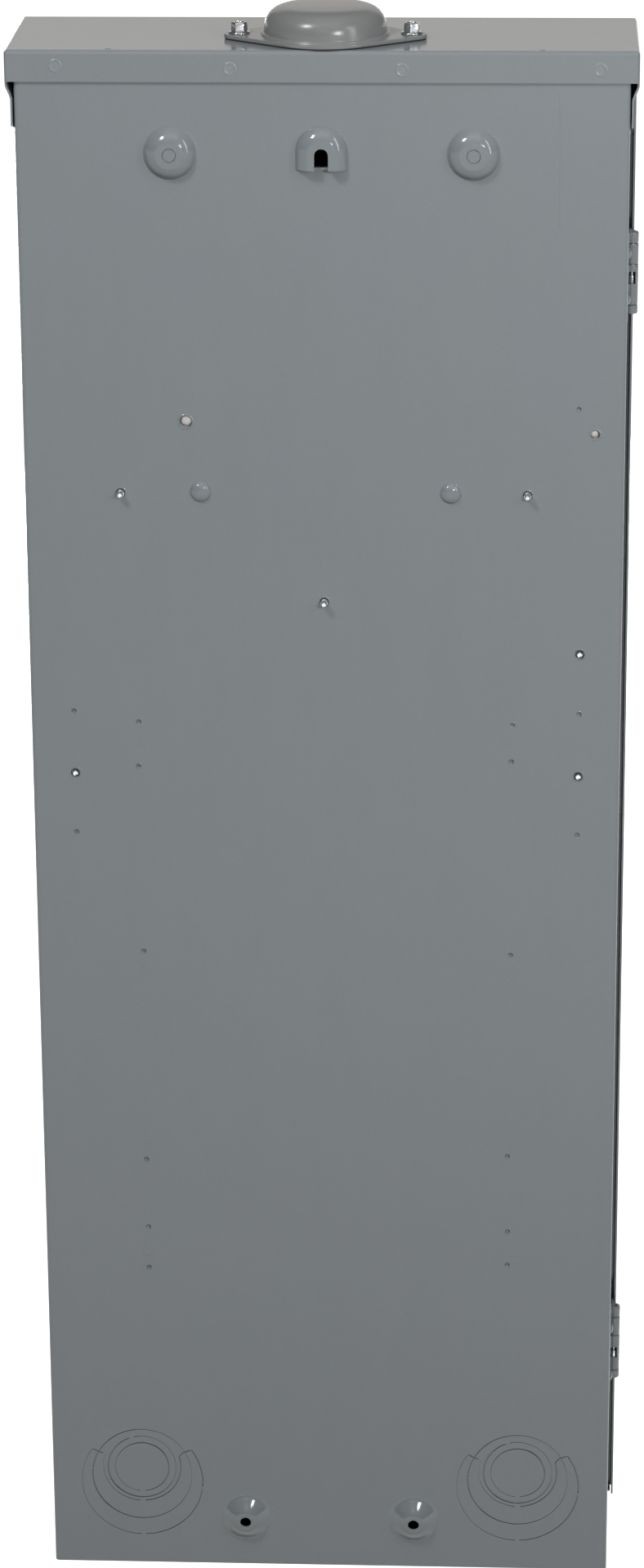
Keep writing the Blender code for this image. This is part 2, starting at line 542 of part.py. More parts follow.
# Branch breakers: two-pole at the bottom of each column, single-pole above.
def breaker(name, side, z0, poles):
    z1 = z0 + poles * PITCH - 0.6
    mid = (z0 + z1) / 2
    prof = [(side * 8.0, 18.0), (side * 8.0, -34.0), (side * 26.0, -36.0), (side * 26.0, -46.8), (side * 62.0, -46.8),
            (side * 62.0, -36.0), (side * 80.0, -30.0), (side * 80.0, 18.0)]
    bm = new()
    prism(bm, prof, "z", z0, z1)
    case = make(name + "_case", bm, BLACK)
    bm = new()
    box(bm, min(side * 34.5, side * 53.5), max(side * 34.5, side * 53.5), -60.0, -28.0, mid - 5.6 * poles, mid + 5.6 * poles)
    boolean(case, "DIFFERENCE", bm, name + "_pocket")
    prof = [(-2.6, -15.6), (2.6, -15.6)] + arc(0, 0, 4.6, -55, 235, 9)
    a = side * -20.0
    c, s = math.cos(math.radians(a)), math.sin(math.radians(a))
    pts = [(side * 44.0 + u * c - v * s, -35.0 + u * s + v * c) for u, v in prof]
    bm = new()
    prism(bm, pts, "z", mid - 5.0 * poles, mid + 5.0 * poles)
    make(name + "_handle", bm, HANDLE, (side * 44.0, -35.0, mid))

for side, tag in COLS:
    z = START
    breaker("branch_%s_1" % tag, side, z, 2)
    z += 2 * PITCH
    for i in range(2):
        breaker("branch_%s_%d" % (tag, i + 2), side, z, 1)
        z += PITCH
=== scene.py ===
"""Residential load center, seen from behind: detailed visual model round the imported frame."""
import math

import bmesh
import bpy
from mathutils import Matrix, Vector


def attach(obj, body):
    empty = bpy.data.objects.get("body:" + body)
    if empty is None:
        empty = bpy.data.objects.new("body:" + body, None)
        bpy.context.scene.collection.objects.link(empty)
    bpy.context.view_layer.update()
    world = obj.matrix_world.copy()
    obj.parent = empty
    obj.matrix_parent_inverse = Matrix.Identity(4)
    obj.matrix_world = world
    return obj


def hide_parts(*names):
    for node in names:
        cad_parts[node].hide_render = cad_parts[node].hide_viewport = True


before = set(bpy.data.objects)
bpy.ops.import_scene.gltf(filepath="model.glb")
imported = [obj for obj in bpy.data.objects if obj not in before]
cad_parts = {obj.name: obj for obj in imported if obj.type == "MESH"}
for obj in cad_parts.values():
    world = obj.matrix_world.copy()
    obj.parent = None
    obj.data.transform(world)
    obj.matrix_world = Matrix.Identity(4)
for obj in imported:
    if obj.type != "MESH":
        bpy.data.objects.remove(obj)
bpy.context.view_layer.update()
scene = bpy.context.scene
scene.view_settings.view_transform = "Standard"
scene.view_settings.look = "None"
scene.view_settings.exposure = 0.0
scene.view_settings.gamma = 1.0

MM = 0.001
BACK = 55.0
HUB = (-1.0, 17.0)

# ------------------------------------------------------------------ camera
cam_data = bpy.data.cameras.new("cam")
cam = bpy.data.objects.new("cam", cam_data)
scene.collection.objects.link(cam)
scene.camera = cam
cam_data.sensor_width = 36.0
cam_data.sensor_fit = "AUTO"
cam_data.lens = 5640.36 / 1920.0 * 36.0
cam_data.clip_start, cam_data.clip_end = 0.05, 60.0
# the viewer stands behind the box, a little to its hinge side and above it
C = Vector((127.756, 2671.944, 1506.495))
R = Vector((0.99890667, -0.04635763, -0.00604028))
U = Vector((-0.01000061, -0.33810838, 0.94105404))
F = Vector((-0.0456673, -0.93996473, -0.33820231))
def row(v):
    return Vector((-v.x, v.y, v.z))
rx, ry, rz = row(R), row(U), row(-F)
rot = Matrix(((rx.x, ry.x, rz.x), (rx.y, ry.y, rz.y), (rx.z, ry.z, rz.z)))
cam.rotation_mode = "QUATERNION"
cam.rotation_quaternion = rot.to_quaternion()
cam.location = Vector((-C.x, C.y + BACK, C.z)) * MM

# ------------------------------------------------------------------ materials
def nodes_of(name):
    m = bpy.data.materials.new(name)
    m.use_nodes = True
    nt = m.node_tree
    b = nt.nodes["Principled BSDF"]
    tc = nt.nodes.new("ShaderNodeTexCoord")
    return m, nt, b, tc.outputs["Object"]

def tex_noise(nt, vec, scale, detail=3.0, rough=0.55, stretch=None, dist=0.0):
    if stretch:
        mp = nt.nodes.new("ShaderNodeMapping")
        mp.inputs["Scale"].default_value = stretch
        nt.links.new(vec, mp.inputs["Vector"])
        vec = mp.outputs["Vector"]
    n = nt.nodes.new("ShaderNodeTexNoise")
    n.inputs["Scale"].default_value = scale
    n.inputs["Detail"].default_value = detail
    n.inputs["Roughness"].default_value = rough
    n.inputs["Distortion"].default_value = dist
    nt.links.new(vec, n.inputs["Vector"])
    return n.outputs["Fac"]

def ramp(nt, fac, stops):
    r = nt.nodes.new("ShaderNodeValToRGB")
    e = r.color_ramp.elements
    while len(e) > 1:
        e.remove(e[-1])
    e[0].position, e[0].color = stops[0][0], (*stops[0][1], 1)
    for p, c in stops[1:]:
        x = e.new(p)
        x.color = (*c, 1)
    nt.links.new(fac, r.inputs["Fac"])
    return r.outputs["Color"]

def mix(nt, a, b, fac, mode="MIX"):
    m = nt.nodes.new("ShaderNodeMix")
    m.data_type = "RGBA"
    m.blend_type = mode
    for sock, v in ((m.inputs[6], a), (m.inputs[7], b)):
        if isinstance(v, tuple):
            sock.default_value = (*v, 1)
        else:
            nt.links.new(v, sock)
    if isinstance(fac, float):
        m.inputs[0].default_value = fac
    else:
        nt.links.new(fac, m.inputs[0])
    return m.outputs[2]

def remap(nt, v, a, b, c, d):
    n = nt.nodes.new("ShaderNodeMapRange")
    n.inputs["From Min"].default_value, n.inputs["From Max"].default_value = a, b
    n.inputs["To Min"].default_value, n.inputs["To Max"].default_value = c, d
    nt.links.new(v, n.inputs["Value"])
    return n.outputs["Result"]

def bump(nt, b, height, strength, distance, below=None):
    n = nt.nodes.new("ShaderNodeBump")
    n.inputs["Strength"].default_value = strength
    n.inputs["Distance"].default_value = distance
    nt.links.new(height, n.inputs["Height"])
    if below:
        nt.links.new(below, n.inputs["Normal"])
    nt.links.new(n.outputs["Normal"], b.inputs["Normal"])
    return n.outputs["Normal"]

def paint(name, base=(0.232, 0.262, 0.278), rough=0.13, warm=(0.238, 0.262, 0.272)):
    m, nt, b, v = nodes_of(name)
    blotch = tex_noise(nt, v, 14.0, 5.0, 0.6)
    fine = tex_noise(nt, v, 520.0, 3.0, 0.6)
    scuff = tex_noise(nt, v, 60.0, 4.0, 0.65, stretch=(1.0, 1.0, 0.25))
    col = mix(nt, base, warm, remap(nt, blotch, 0.15, 0.85, 0.0, 1.0))
    dark = tuple(c * 0.93 for c in base)
    col = mix(nt, col, dark, remap(nt, scuff, 0.40, 0.95, 0.0, 0.5))
    light = tuple(min(1.0, c * 1.10) for c in base)
    col = mix(nt, col, light, remap(nt, fine, 0.50, 0.95, 0.0, 0.6))
    nt.links.new(col, b.inputs["Base Color"])
    nt.links.new(remap(nt, blotch, 0.2, 0.8, rough - 0.03, rough + 0.04), b.inputs["Roughness"])
    b.inputs["Specular IOR Level"].default_value = 0.5
    peel = tex_noise(nt, v, 330.0, 2.0, 0.5)
    bump(nt, b, peel, 0.10, 0.0003)
    return m

def metal(name, a, b2, rough, scale, stretch=None, bmp=0.15, dist=0.0002, tint=None):
    m, nt, b, v = nodes_of(name)
    n = tex_noise(nt, v, scale, 4.0, 0.6, stretch)
    col = mix(nt, a, b2, remap(nt, n, 0.35, 0.65, 0.0, 1.0))
    if tint:
        w = tex_noise(nt, v, scale * 0.25, 2.0, 0.5)
        col = mix(nt, col, tint, remap(nt, w, 0.5, 0.75, 0.0, 0.6))
    nt.links.new(col, b.inputs["Base Color"])
    b.inputs["Metallic"].default_value = 1.0
    nt.links.new(remap(nt, n, 0.3, 0.7, rough - 0.07, rough + 0.09), b.inputs["Roughness"])
    bump(nt, b, n, bmp, dist)
    return m

def plastic(name, a, b2, rough, scale=900.0, bmp=0.2):
    m, nt, b, v = nodes_of(name)
    n = tex_noise(nt, v, scale, 3.0, 0.6)
    w = tex_noise(nt, v, 35.0, 3.0, 0.6)
    nt.links.new(mix(nt, a, b2, remap(nt, w, 0.35, 0.7, 0.0, 1.0)), b.inputs["Base Color"])
    nt.links.new(remap(nt, w, 0.3, 0.7, rough - 0.05, rough + 0.08), b.inputs["Roughness"])
    bump(nt, b, n, bmp, 0.0002)
    return m

M_PAINT = paint("gray_enamel")
M_CAP = paint("gray_enamel_cap", (0.234, 0.261, 0.276), 0.15, (0.242, 0.261, 0.270))
# hub closing cap enamel: a slightly warmer gray, also set darker than the other gray enamel as painted shade for the
# dome's darker sides
M_HUB_PAINTED_SHADE = paint("gray_enamel_hub_painted_shade", (0.208, 0.215, 0.218), 0.24, (0.216, 0.217, 0.215))
M_MARK = paint("gray_enamel_marks", (0.250, 0.280, 0.296), 0.24, (0.262, 0.284, 0.294))
M_ZINC = metal("bright_zinc", (0.64, 0.66, 0.68), (0.52, 0.55, 0.58), 0.20, 160.0, None, 0.12, 0.0002, (0.66, 0.62, 0.52))
M_TIP = metal("dull_zinc", (0.82, 0.84, 0.86), (0.62, 0.64, 0.66), 0.30, 260.0, None, 0.25, 0.0002, (0.60, 0.56, 0.46))
M_ALUM = metal("extruded_aluminium", (0.70, 0.71, 0.72), (0.60, 0.61, 0.62), 0.34, 300.0, (1.0, 1.0, 0.03), 0.2)
M_TIN = metal("tinned_bar", (0.66, 0.66, 0.64), (0.54, 0.53, 0.50), 0.30, 120.0, (1.0, 1.0, 0.1), 0.1)
M_CASE = plastic("breaker_moulding", (0.020, 0.020, 0.022), (0.030, 0.030, 0.032), 0.48)
M_BASE = plastic("base_moulding", (0.045, 0.045, 0.050), (0.060, 0.060, 0.066), 0.55, 600.0)
M_HANDLE = plastic("handle_moulding", (0.028, 0.028, 0.030), (0.040, 0.040, 0.043), 0.33, 1200.0, 0.08)
M_RUBBER = plastic("gasket_rubber", (0.022, 0.022, 0.023), (0.035, 0.034, 0.033), 0.82, 1500.0, 0.4)
M_GREEN = metal("green_screw", (0.05, 0.26, 0.11), (0.03, 0.18, 0.08), 0.30, 200.0)

def galv():
    m, nt, b, v = nodes_of("galvanised_sheet")
    vo = nt.nodes.new("ShaderNodeTexVoronoi")
    vo.inputs["Scale"].default_value = 110.0
    nt.links.new(v, vo.inputs["Vector"])
    sep = nt.nodes.new("ShaderNodeSeparateColor")
    nt.links.new(vo.outputs["Color"], sep.inputs["Color"])
    col = ramp(nt, sep.outputs[0], [(0.0, (0.44, 0.46, 0.47)), (0.5, (0.54, 0.56, 0.57)), (1.0, (0.63, 0.65, 0.66))])
    nt.links.new(col, b.inputs["Base Color"])
    b.inputs["Metallic"].default_value = 1.0
    nt.links.new(remap(nt, sep.outputs[1], 0.0, 1.0, 0.34, 0.52), b.inputs["Roughness"])
    bump(nt, b, tex_noise(nt, v, 200.0, 3.0), 0.12, 0.0002)
    return m
M_GALV = galv()
M_PAD = plastic("bright_pad", (0.66, 0.645, 0.63), (0.58, 0.57, 0.56), 0.5, 300.0)

# ------------------------------------------------------------------ mesh tools (millimetres)
def arc(cx, cy, r, a0, a1, n):
    return [(cx + r * math.cos(math.radians(a0 + (a1 - a0) * i / n)),
             cy + r * math.sin(math.radians(a0 + (a1 - a0) * i / n))) for i in range(n + 1)]

def circle(cx, cy, r, n, start=0.0):
    return [(cx + r * math.cos(math.radians(start) + 2 * math.pi * i / n),
             cy + r * math.sin(math.radians(start) + 2 * math.pi * i / n)) for i in range(n)]

def offset(pts, t, closed=True):
    out, n = [], len(pts)
    for i, p in enumerate(pts):
        ds = []
        if closed or i > 0:
            ds.append((Vector(p) - Vector(pts[i - 1])).normalized())
        if closed or i < n - 1:
            ds.append((Vector(pts[(i + 1) % n]) - Vector(p)).normalized())
        ns = [Vector((d.y, -d.x)) for d in ds]
        m = sum(ns, Vector((0.0, 0.0))).normalized()
        k = t / max(0.3, m.dot(ns[0]))
        out.append((p[0] + m.x * k, p[1] + m.y * k))
    return out

def sheet(pts, t):
    return list(pts) + offset(pts, t, closed=False)[::-1]

def at(axis, a, p):
    return (a, p[0], p[1]) if axis == "x" else (p[0], a, p[1]) if axis == "y" else (p[0], p[1], a)

def loops(bm, rings, cap=True):
    """Skin between rings of equal length; the ends are capped."""
    vs = [[bm.verts.new(p) for p in r] for r in rings]
    n = len(rings[0])
    for u, v in zip(vs, vs[1:]):
        for i in range(n):
            j = (i + 1) % n
            bm.faces.new((u[i], u[j], v[j], v[i]))
    if cap:
        bm.faces.new(vs[0][::-1])
        bm.faces.new(vs[-1])
    return vs

def prism(bm, pts, axis, a0, a1):
    loops(bm, [[at(axis, a, p) for p in pts] for a in (a0, a1)])

def soft_prism(bm, pts, axis, a0, a1, r, n=3):
    """A prism whose two end edges are rounded by r; pts run anticlockwise."""
    rings = []
    for i in range(n + 1):
        t = math.pi / 2 * i / n
        rings.append([at(axis, a0 + r * (1 - math.cos(t)), p) for p in offset(pts, -r * (1 - math.sin(t)))])
    for i in range(n + 1):
        t = math.pi / 2 * i / n
        rings.append([at(axis, a1 - r * (1 - math.sin(t)), p) for p in offset(pts, -r * (1 - math.cos(t)))])
    loops(bm, rings)

def box(bm, x0, x1, y0, y1, z0, z1):
    prism(bm, [(x0, y0), (x1, y0), (x1, y1), (x0, y1)], "z", z0, z1)

def cyl(bm, axis, c, r, a0, a1, n=32, start=0.0):
    prism(bm, circle(c[0], c[1], r, n, start), axis, a0, a1)

def smooth_line(pts, times=2):
    """Chaikin corner cutting that keeps both ends."""
    for _ in range(times):
        out = [pts[0]]
        for p, q in zip(pts, pts[1:]):
            out.append((p[0] * 0.75 + q[0] * 0.25, p[1] * 0.75 + q[1] * 0.25))
            out.append((p[0] * 0.25 + q[0] * 0.75, p[1] * 0.25 + q[1] * 0.75))
        out.append(pts[-1])
        pts = out
    return pts

def lathe(bm, axis, c, profile, n=48):
    rings = []
    for r, a in profile:
        if r < 1e-6:
            rings.append([bm.verts.new(at(axis, a, c))])
        else:
            rings.append([bm.verts.new(at(axis, a, p)) for p in circle(c[0], c[1], r, n)])
    for u, v in zip(rings, rings[1:]):
        for i in range(n):
            j = (i + 1) % n
            if len(u) == 1 and len(v) == 1:
                continue
            if len(u) == 1:
                bm.faces.new((u[0], v[i], v[j]))
            elif len(v) == 1:
                bm.faces.new((u[i], u[j], v[0]))
            else:
                bm.faces.new((u[i], u[j], v[j], v[i]))

def finish_mesh(name, bm, mat=None, smooth=30.0):
    bmesh.ops.remove_doubles(bm, verts=bm.verts[:], dist=1e-4)
    bmesh.ops.recalc_face_normals(bm, faces=bm.faces[:])
    if bm.calc_volume(signed=True) < 0:
        bmesh.ops.reverse_faces(bm, faces=bm.faces[:])
    for v in bm.verts:
        v.co *= MM
    me = bpy.data.meshes.new(name)
    bm.to_mesh(me)
    bm.free()
    o = bpy.data.objects.new(name, me)
    scene.collection.objects.link(o)
    if mat:
        me.materials.append(mat)
    if smooth:
        me.polygons.foreach_set("use_smooth", [True] * len(me.polygons))
        me.set_sharp_from_angle(angle=math.radians(smooth))
    return o

def applied(o, cuts, smooth=30.0):
    """Runs a list of (operation, bmesh) on o and keeps the result as its mesh."""
    made = []
    for op, bm, *overlapping in cuts:
        c = finish_mesh("cutter", bm, None, None)
        m = o.modifiers.new("b", "BOOLEAN")
        m.operation, m.solver, m.object = op, "EXACT", c
        m.use_self = bool(overlapping)
        made.append(c)
    bpy.context.view_layer.update()
    dg = bpy.context.evaluated_depsgraph_get()
    me = bpy.data.meshes.new_from_object(o.evaluated_get(dg))
    tidy = bmesh.new()
    tidy.from_mesh(me)
    bmesh.ops.remove_doubles(tidy, verts=tidy.verts[:], dist=2e-6)
    bmesh.ops.dissolve_degenerate(tidy, dist=2e-6, edges=tidy.edges[:])
    tidy.to_mesh(me)
    tidy.free()
    old = o.data
    o.modifiers.clear()
    o.data = me
    for c in made:
        bpy.data.objects.remove(c, do_unlink=True)
    bpy.data.meshes.remove(old)
    if smooth:
        me.polygons.foreach_set("use_smooth", [True] * len(me.polygons))
        me.set_sharp_from_angle(angle=math.radians(smooth))
    return o

def weighted(o):
    m = o.modifiers.new("weighted", "WEIGHTED_NORMAL")
    m.keep_sharp = True
    m.weight = 90
    return o

def bevel(o, width, segments=2, angle=35.0):
    m = o.modifiers.new("edge", "BEVEL")
    m.width = width * MM
    m.segments = segments
    m.limit_method = "ANGLE"
    m.angle_limit = math.radians(angle)
    m.use_clamp_overlap = True
    m.harden_normals = False
    return o

def place(o, body, slot, *replaced):
    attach(o, body)
    if replaced:
        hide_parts(*replaced)
    return o

# ------------------------------------------------------------------ enclosure wrapper
bm = bmesh.new()
path = [(-161.0, -44.0)] + arc(-178, -41, 3, 270, 180, 8) + arc(-178.2, 52.2, 2.8, 180, 90, 8) \
    + arc(178.2, 52.2, 2.8, 90, 0, 8) + arc(178, -41, 3, 0, -90, 8) + [(161.0, -44.0)]
prism(bm, sheet(path, 1.4), "z", 0.0, 997.5)
wrapper = finish_mesh("wrapper_shell", bm, M_PAINT)

def dome_line(r_top, h_top, big, a_top, a_rim, n=10):
    """Ball-shaped flank of a drawn boss: an arc of radius big from slope a_rim up to slope a_top, ending at (r_top,
    h_top); the boss's flat crown, rounded shoulder and small fillet at the rim are added by the caller.
    """
    out = []
    for i in range(n + 1):
        a = math.radians(a_rim + (a_top - a_rim) * i / n)
        out.append((r_top - big * math.sin(math.radians(a_top)) + big * math.sin(a), h_top - big * math.cos(math.radians(a_top)) + big * math.cos(a)))
    return out
flank = dome_line(8.8, 6.22, 12.4, 21.0, 60.0)
DOME = [(17.0, -0.03), (16.3, 0.02), (15.75, 0.11)] + flank + [(8.5, 6.37), (8.0, 6.46), (7.4, 6.5), (4.0, 6.5)]
CONE = smooth_line([(17.6, -0.03), (16.4, 0.04), (15.4, 0.35), (14.2, 1.1), (10.8, 3.75), (7.4, 5.95), (6.0, 6.4), (5.0, 6.5), (4.2, 6.5)], 2)
DOME_IN = [(0, 50.0), (14.4, 50.0), (14.3, 55.8), (13.2, 57.6), (8.2, 59.3), (7.4, 60.1), (0, 60.1)]
CONE_IN = [(0, 50.0), (14.2, 50.0), (14.0, 54.8), (10.0, 57.7), (7.2, 60.0), (0, 60.1)]
def boss(bm, x, z, line, n=72):
    lathe(bm, "y", (x, z), [(0, BACK - 0.8), (line[0][0], BACK - 0.8), *[(r, BACK + h) for r, h in line], (0, BACK + line[-1][1])], n)
def arch(bm, line, cz, zb, n=40):
    """A boss whose upper half is round and whose flanks run straight down to a sheared end at zb."""
    loops(bm, [[at("y", y, p) for p in arc(0.0, cz, r, 0, 180, n) + [(-r, zb), (r, zb)]] for r, y in line])
def merge_into(bm, other):
    t = bpy.data.meshes.new("t")
    other.to_mesh(t)
    bm.from_mesh(t)
    other.free()
    bpy.data.meshes.remove(t)

raised, hollow = [], []
def piece(kept, op, make, *a):
    b = bmesh.new()
    make(b, *a)
    kept.append((op, b))
for x in (-89.5, 89.5):
    piece(raised, "UNION", boss, x, 938.9, DOME)
for x in (-54.8, 54.8):
    piece(raised, "UNION", boss, x, 34.0, CONE)
piece(raised, "UNION", arch, [(15.3, BACK - 0.8)] + [(r, BACK + h) for r, h in DOME[3:]], 940.2, 929.9)
for x in (74.3, -76.7):
    piece(raised, "UNION", boss, x, 732.0, [(7.3, -0.03), (6.85, 0.02), (6.6, 0.07)] + dome_line(2.4, 2.9, 6.2, 12.0, 57.5, 9) + [(2.0, 2.97), (1.0, 3.0)], 44)

for x in (-89.5, 89.5):
    piece(hollow, "DIFFERENCE", lathe, "y", (x, 938.9), DOME_IN, 40)
for x in (-54.8, 54.8):
    piece(hollow, "DIFFERENCE", lathe, "y", (x, 34.0), CONE_IN, 40)
piece(hollow, "DIFFERENCE", arch, [(14.0, 50.0), (13.9, 55.6), (12.6, 57.6), (8.4, 59.9), (7.4, 60.1)], 940.2, 931.1)

holes = bmesh.new()
prism(holes, [(-4.1, 929.2), (4.1, 929.2)] + arc(0, 939.0, 4.1, 0, 180, 20), "y", 57.0, 65.0)
for x in (-54.8, 54.8):
    cyl(holes, "y", (x, 33.8), 3.55, 57.0, 65.0, 40)
SMALL = [(-153.1, 784.7), (154.4, 591.3), (114.6, 584.6), (115.2, 555.7), (154.6, 512.2),
         (-155.6, 591.9), (-155.4, 513.3), (-115.1, 584.5), (-114.5, 560.8), (114.4, 432.7),
         (-115.0, 432.9), (115.3, 290.0), (-114.1, 295.3), (114.9, 242.7), (115.2, 214.1),
         (-114.5, 242.9), (-114.5, 219.3)]
for x, z in SMALL:
    lathe(holes, "y", (x, z), [(0, BACK - 1.25), (0.8, BACK - 1.25), (1.25, BACK - 0.95), (1.5, BACK - 0.1), (1.6, BACK + 1.0), (0, BACK + 1.0)], 20)
for x, z in ((122.8, 730.8), (-122.9, 730.9), (0.0, 662.6), (-155.6, 630.6), (-155.6, 551.6), (154.4, 551.0)):
    cyl(holes, "y", (x, z), 2.75, 50.0, 58.0, 24)
cyl(holes, "y", (82.7, 775.6), 3.75, 50.0, 58.0, 28)
cyl(holes, "y", (-163.1, 769.1), 2.75, 50.0, 58.0, 24)
for x in (-164.6, 164.6):
    for z in (200.0, 930.0):
        cyl(holes, "y", (x, z), 2.5, -50.0, -40.0, 24)

# knockouts: thin sheared arcs that stop at their ties
def groove(bm, cx, cz, r, spans, w=0.6, deep=0.95, n=96, face=BACK, lean=(0.0, 0.0)):
    for a0, a1 in spans:
        k = max(3, int(n * (a1 - a0) / 360))
        outer = arc(cx + lean[0], cz + lean[1], r + w / 2, a0, a1, k)
        inner = arc(cx - lean[0], cz - lean[1], r - w / 2, a0, a1, k)
        prism(bm, outer + inner[::-1], "y", face - deep, face + 2.0)
def line(bm, p, q, w=0.6, deep=0.95):
    d = (Vector(q) - Vector(p)).normalized()
    s = Vector((-d.y, d.x)) * w / 2
    pts = [(p[0] + s.x, p[1] + s.y), (p[0] - s.x, p[1] - s.y), (q[0] - s.x, q[1] - s.y), (q[0] + s.x, q[1] + s.y)]
    prism(bm, pts, "y", BACK - deep, BACK + 1.0 + deep)

score, near, far = bmesh.new(), bmesh.new(), bmesh.new()
for kx in (-122.4, 122.4):
    # angles are measured from +X, which is the viewer's left
    groove(score, kx, 70.0, 17.5, [(-84, 264)], 0.54, lean=(-0.14, 0.08))
    groove(score, kx, 70.1, 22.2, [(76.5, 429)], 0.56, lean=(0.16, -0.08))
    groove(score, kx, 70.7, 25.3, [(-196, -94), (-86, 19)], 0.52, lean=(-0.17, -0.03))
    groove(score, kx, 64.9, 32.4, [(-186, 6), (8, 172)], 0.50, lean=(0.15, -0.03))
    groove(score, kx, 60.1, 39.5, [(-215.5, -174.5), (-171.5, -92), (-88, 35)], 0.50, lean=(-0.15, 0.0))
    d = kx - 122.4
    for q, deep in ((((154.2, 82.5), (150.4, 80.6)), 0.91), (((150.4, 80.6), (147.9, 79.6)), 0.88), (((91.1, 82.5), (95.4, 80.9)), 0.91), (((95.4, 80.9), (98.2, 77.9)), 0.88)):
        line(near if deep > 0.9 else far, (q[0][0] + d, q[0][1]), (q[1][0] + d, q[1][1]), 0.6, deep)
for x in (-89.5, 89.5):
    groove(score, x, 938.9, 3.95, [(-200, 150)], 0.6, 0.7, 48, BACK + 6.5)
for step in raised + hollow + [("DIFFERENCE", b) for b in (holes, score, near, far)]:
    wrapper = applied(wrapper, [step])
# the flat sheet keeps its own normal where a drawn shape runs out into it
crease = bmesh.new()
crease.from_mesh(wrapper.data)
for e in crease.edges:
    flat = [abs(f.normal.y) > 0.99999 and abs(f.calc_center_median().y - BACK * MM) < 1e-5 for f in e.link_faces]
    if any(flat) and not all(flat):
        e.smooth = False
crease.to_mesh(wrapper.data)
crease.free()
weighted(wrapper)
place(wrapper, "enclosure", "gray_paint", "enclosure_wrapper")

# small marks left by the shop on the back panel: pierced rims, weld marks, a paint run
marks = bmesh.new()
def rim(bm, x, z, r, w, h, n=28, y=BACK):
    prof = smooth_line([(r + w + 0.3, -0.05), (r + w, 0.02), (r + w * 0.6, h), (r + w * 0.2, h), (r, 0.0)], 1)
    rings = [[(px, y + a, pz) for px, pz in circle(x, z, rr, n)] for rr, a in prof] + \
            [[(px, y - 0.2, pz) for px, pz in circle(x, z, r, n)], [(px, y - 0.2, pz) for px, pz in circle(x, z, r + w + 0.3, n)]]
    vs = [[bm.verts.new(p) for p in ring] for ring in rings]
    for u, v in zip(vs, vs[1:] + vs[:1]):
        for i in range(n):
            j = (i + 1) % n
            bm.faces.new((u[i], u[j], v[j], v[i]))
for x, z in ((122.8, 730.8), (-122.9, 730.9), (0.0, 662.6)):
    rim(marks, x, z, 2.8, 1.1, 0.35)
for x, z in ((-155.6, 630.6), (-155.6, 551.6), (154.4, 551.0)):
    rim(marks, x, z, 2.8, 0.9, 0.30)
rim(marks, 82.7, 775.6, 3.8, 1.2, 0.45)
rim(marks, -163.1, 769.1, 2.8, 0.9, 0.30)
for x, z in SMALL:
    rim(marks, x, z, 1.52, 0.55, 0.16, 20)
def weld(bm, x, z, r=3.2, h=0.10, y=BACK):
    lathe(bm, "y", (x, z), [(0, y - 0.3), (r + 0.6, y - 0.3), (r + 0.6, y - 0.02)]
          + [(rr, y + a) for rr, a in smooth_line([(r + 0.5, 0.0), (r, h), (r - 0.7, h), (r - 1.1, h * 0.35), (0.8, h * 0.25), (0, h * 0.6)], 1)], 28)
WELDS = [(112.0, 572.0), (114.0, 420.0), (115.0, 305.0), (116.0, 226.0), (-112.0, 573.0), (-116.0, 420.0), (-117.0, 302.0), (-118.0, 228.0), (-64.0, 598.0), (-165.0, 470.0)]
for x, z in WELDS:
    weld(marks, x, z, 3.0, 0.10)
def ridge(bm, path, n=10):
    """A low paint run along (x, z, half width, height) stations."""
    rings = []
    for x, z, w, h in path:
        rings.append([(x + w * math.cos(math.pi * i / n), BACK + h * math.sin(math.pi * i / n) - 0.02, z) for i in range(n + 1)] + [(x, BACK - 0.3, z)])
    loops(bm, rings)
ridge(marks, [(-136.5, 979.0, 0.5, 0.05), (-138.6, 976.5, 0.6, 0.10), (-139.9, 972.0, 0.65, 0.14), (-140.1, 960.0, 0.6, 0.13), (-140.3, 940.0, 0.6, 0.12),
              (-140.4, 915.0, 0.65, 0.13), (-140.6, 902.0, 0.9, 0.20), (-140.7, 898.0, 1.3, 0.34), (-140.8, 896.0, 1.2, 0.36), (-140.8, 894.6, 0.7, 0.18)])
marks = finish_mesh("panel_marks", marks, M_PAINT, 40.0)
place(marks, "enclosure", "gray_paint")

# bright pads of the interior's bracket, seen through the two open holes
bm = bmesh.new()
for x, z, r in ((82.2, 776.3, 3.15), (-162.4, 769.8, 2.3)):
    lathe(bm, "y", (x, z), [(0, 52.0), (r, 52.0), (r, 54.0), (r - 0.4, 54.4), (r * 0.5, 54.6), (0, 54.7)], 32)
for x, z, r in ((82.7, 775.6, 6.5), (-163.1, 769.1, 5.0)):
    lathe(bm, "y", (x, z), [(0, 51.0), (r, 51.0), (r, 52.2), (0, 52.3)], 32)
pads = finish_mesh("bracket_pads", bm, M_PAD, 40.0)
place(pads, "enclosure", "galvanised_steel")

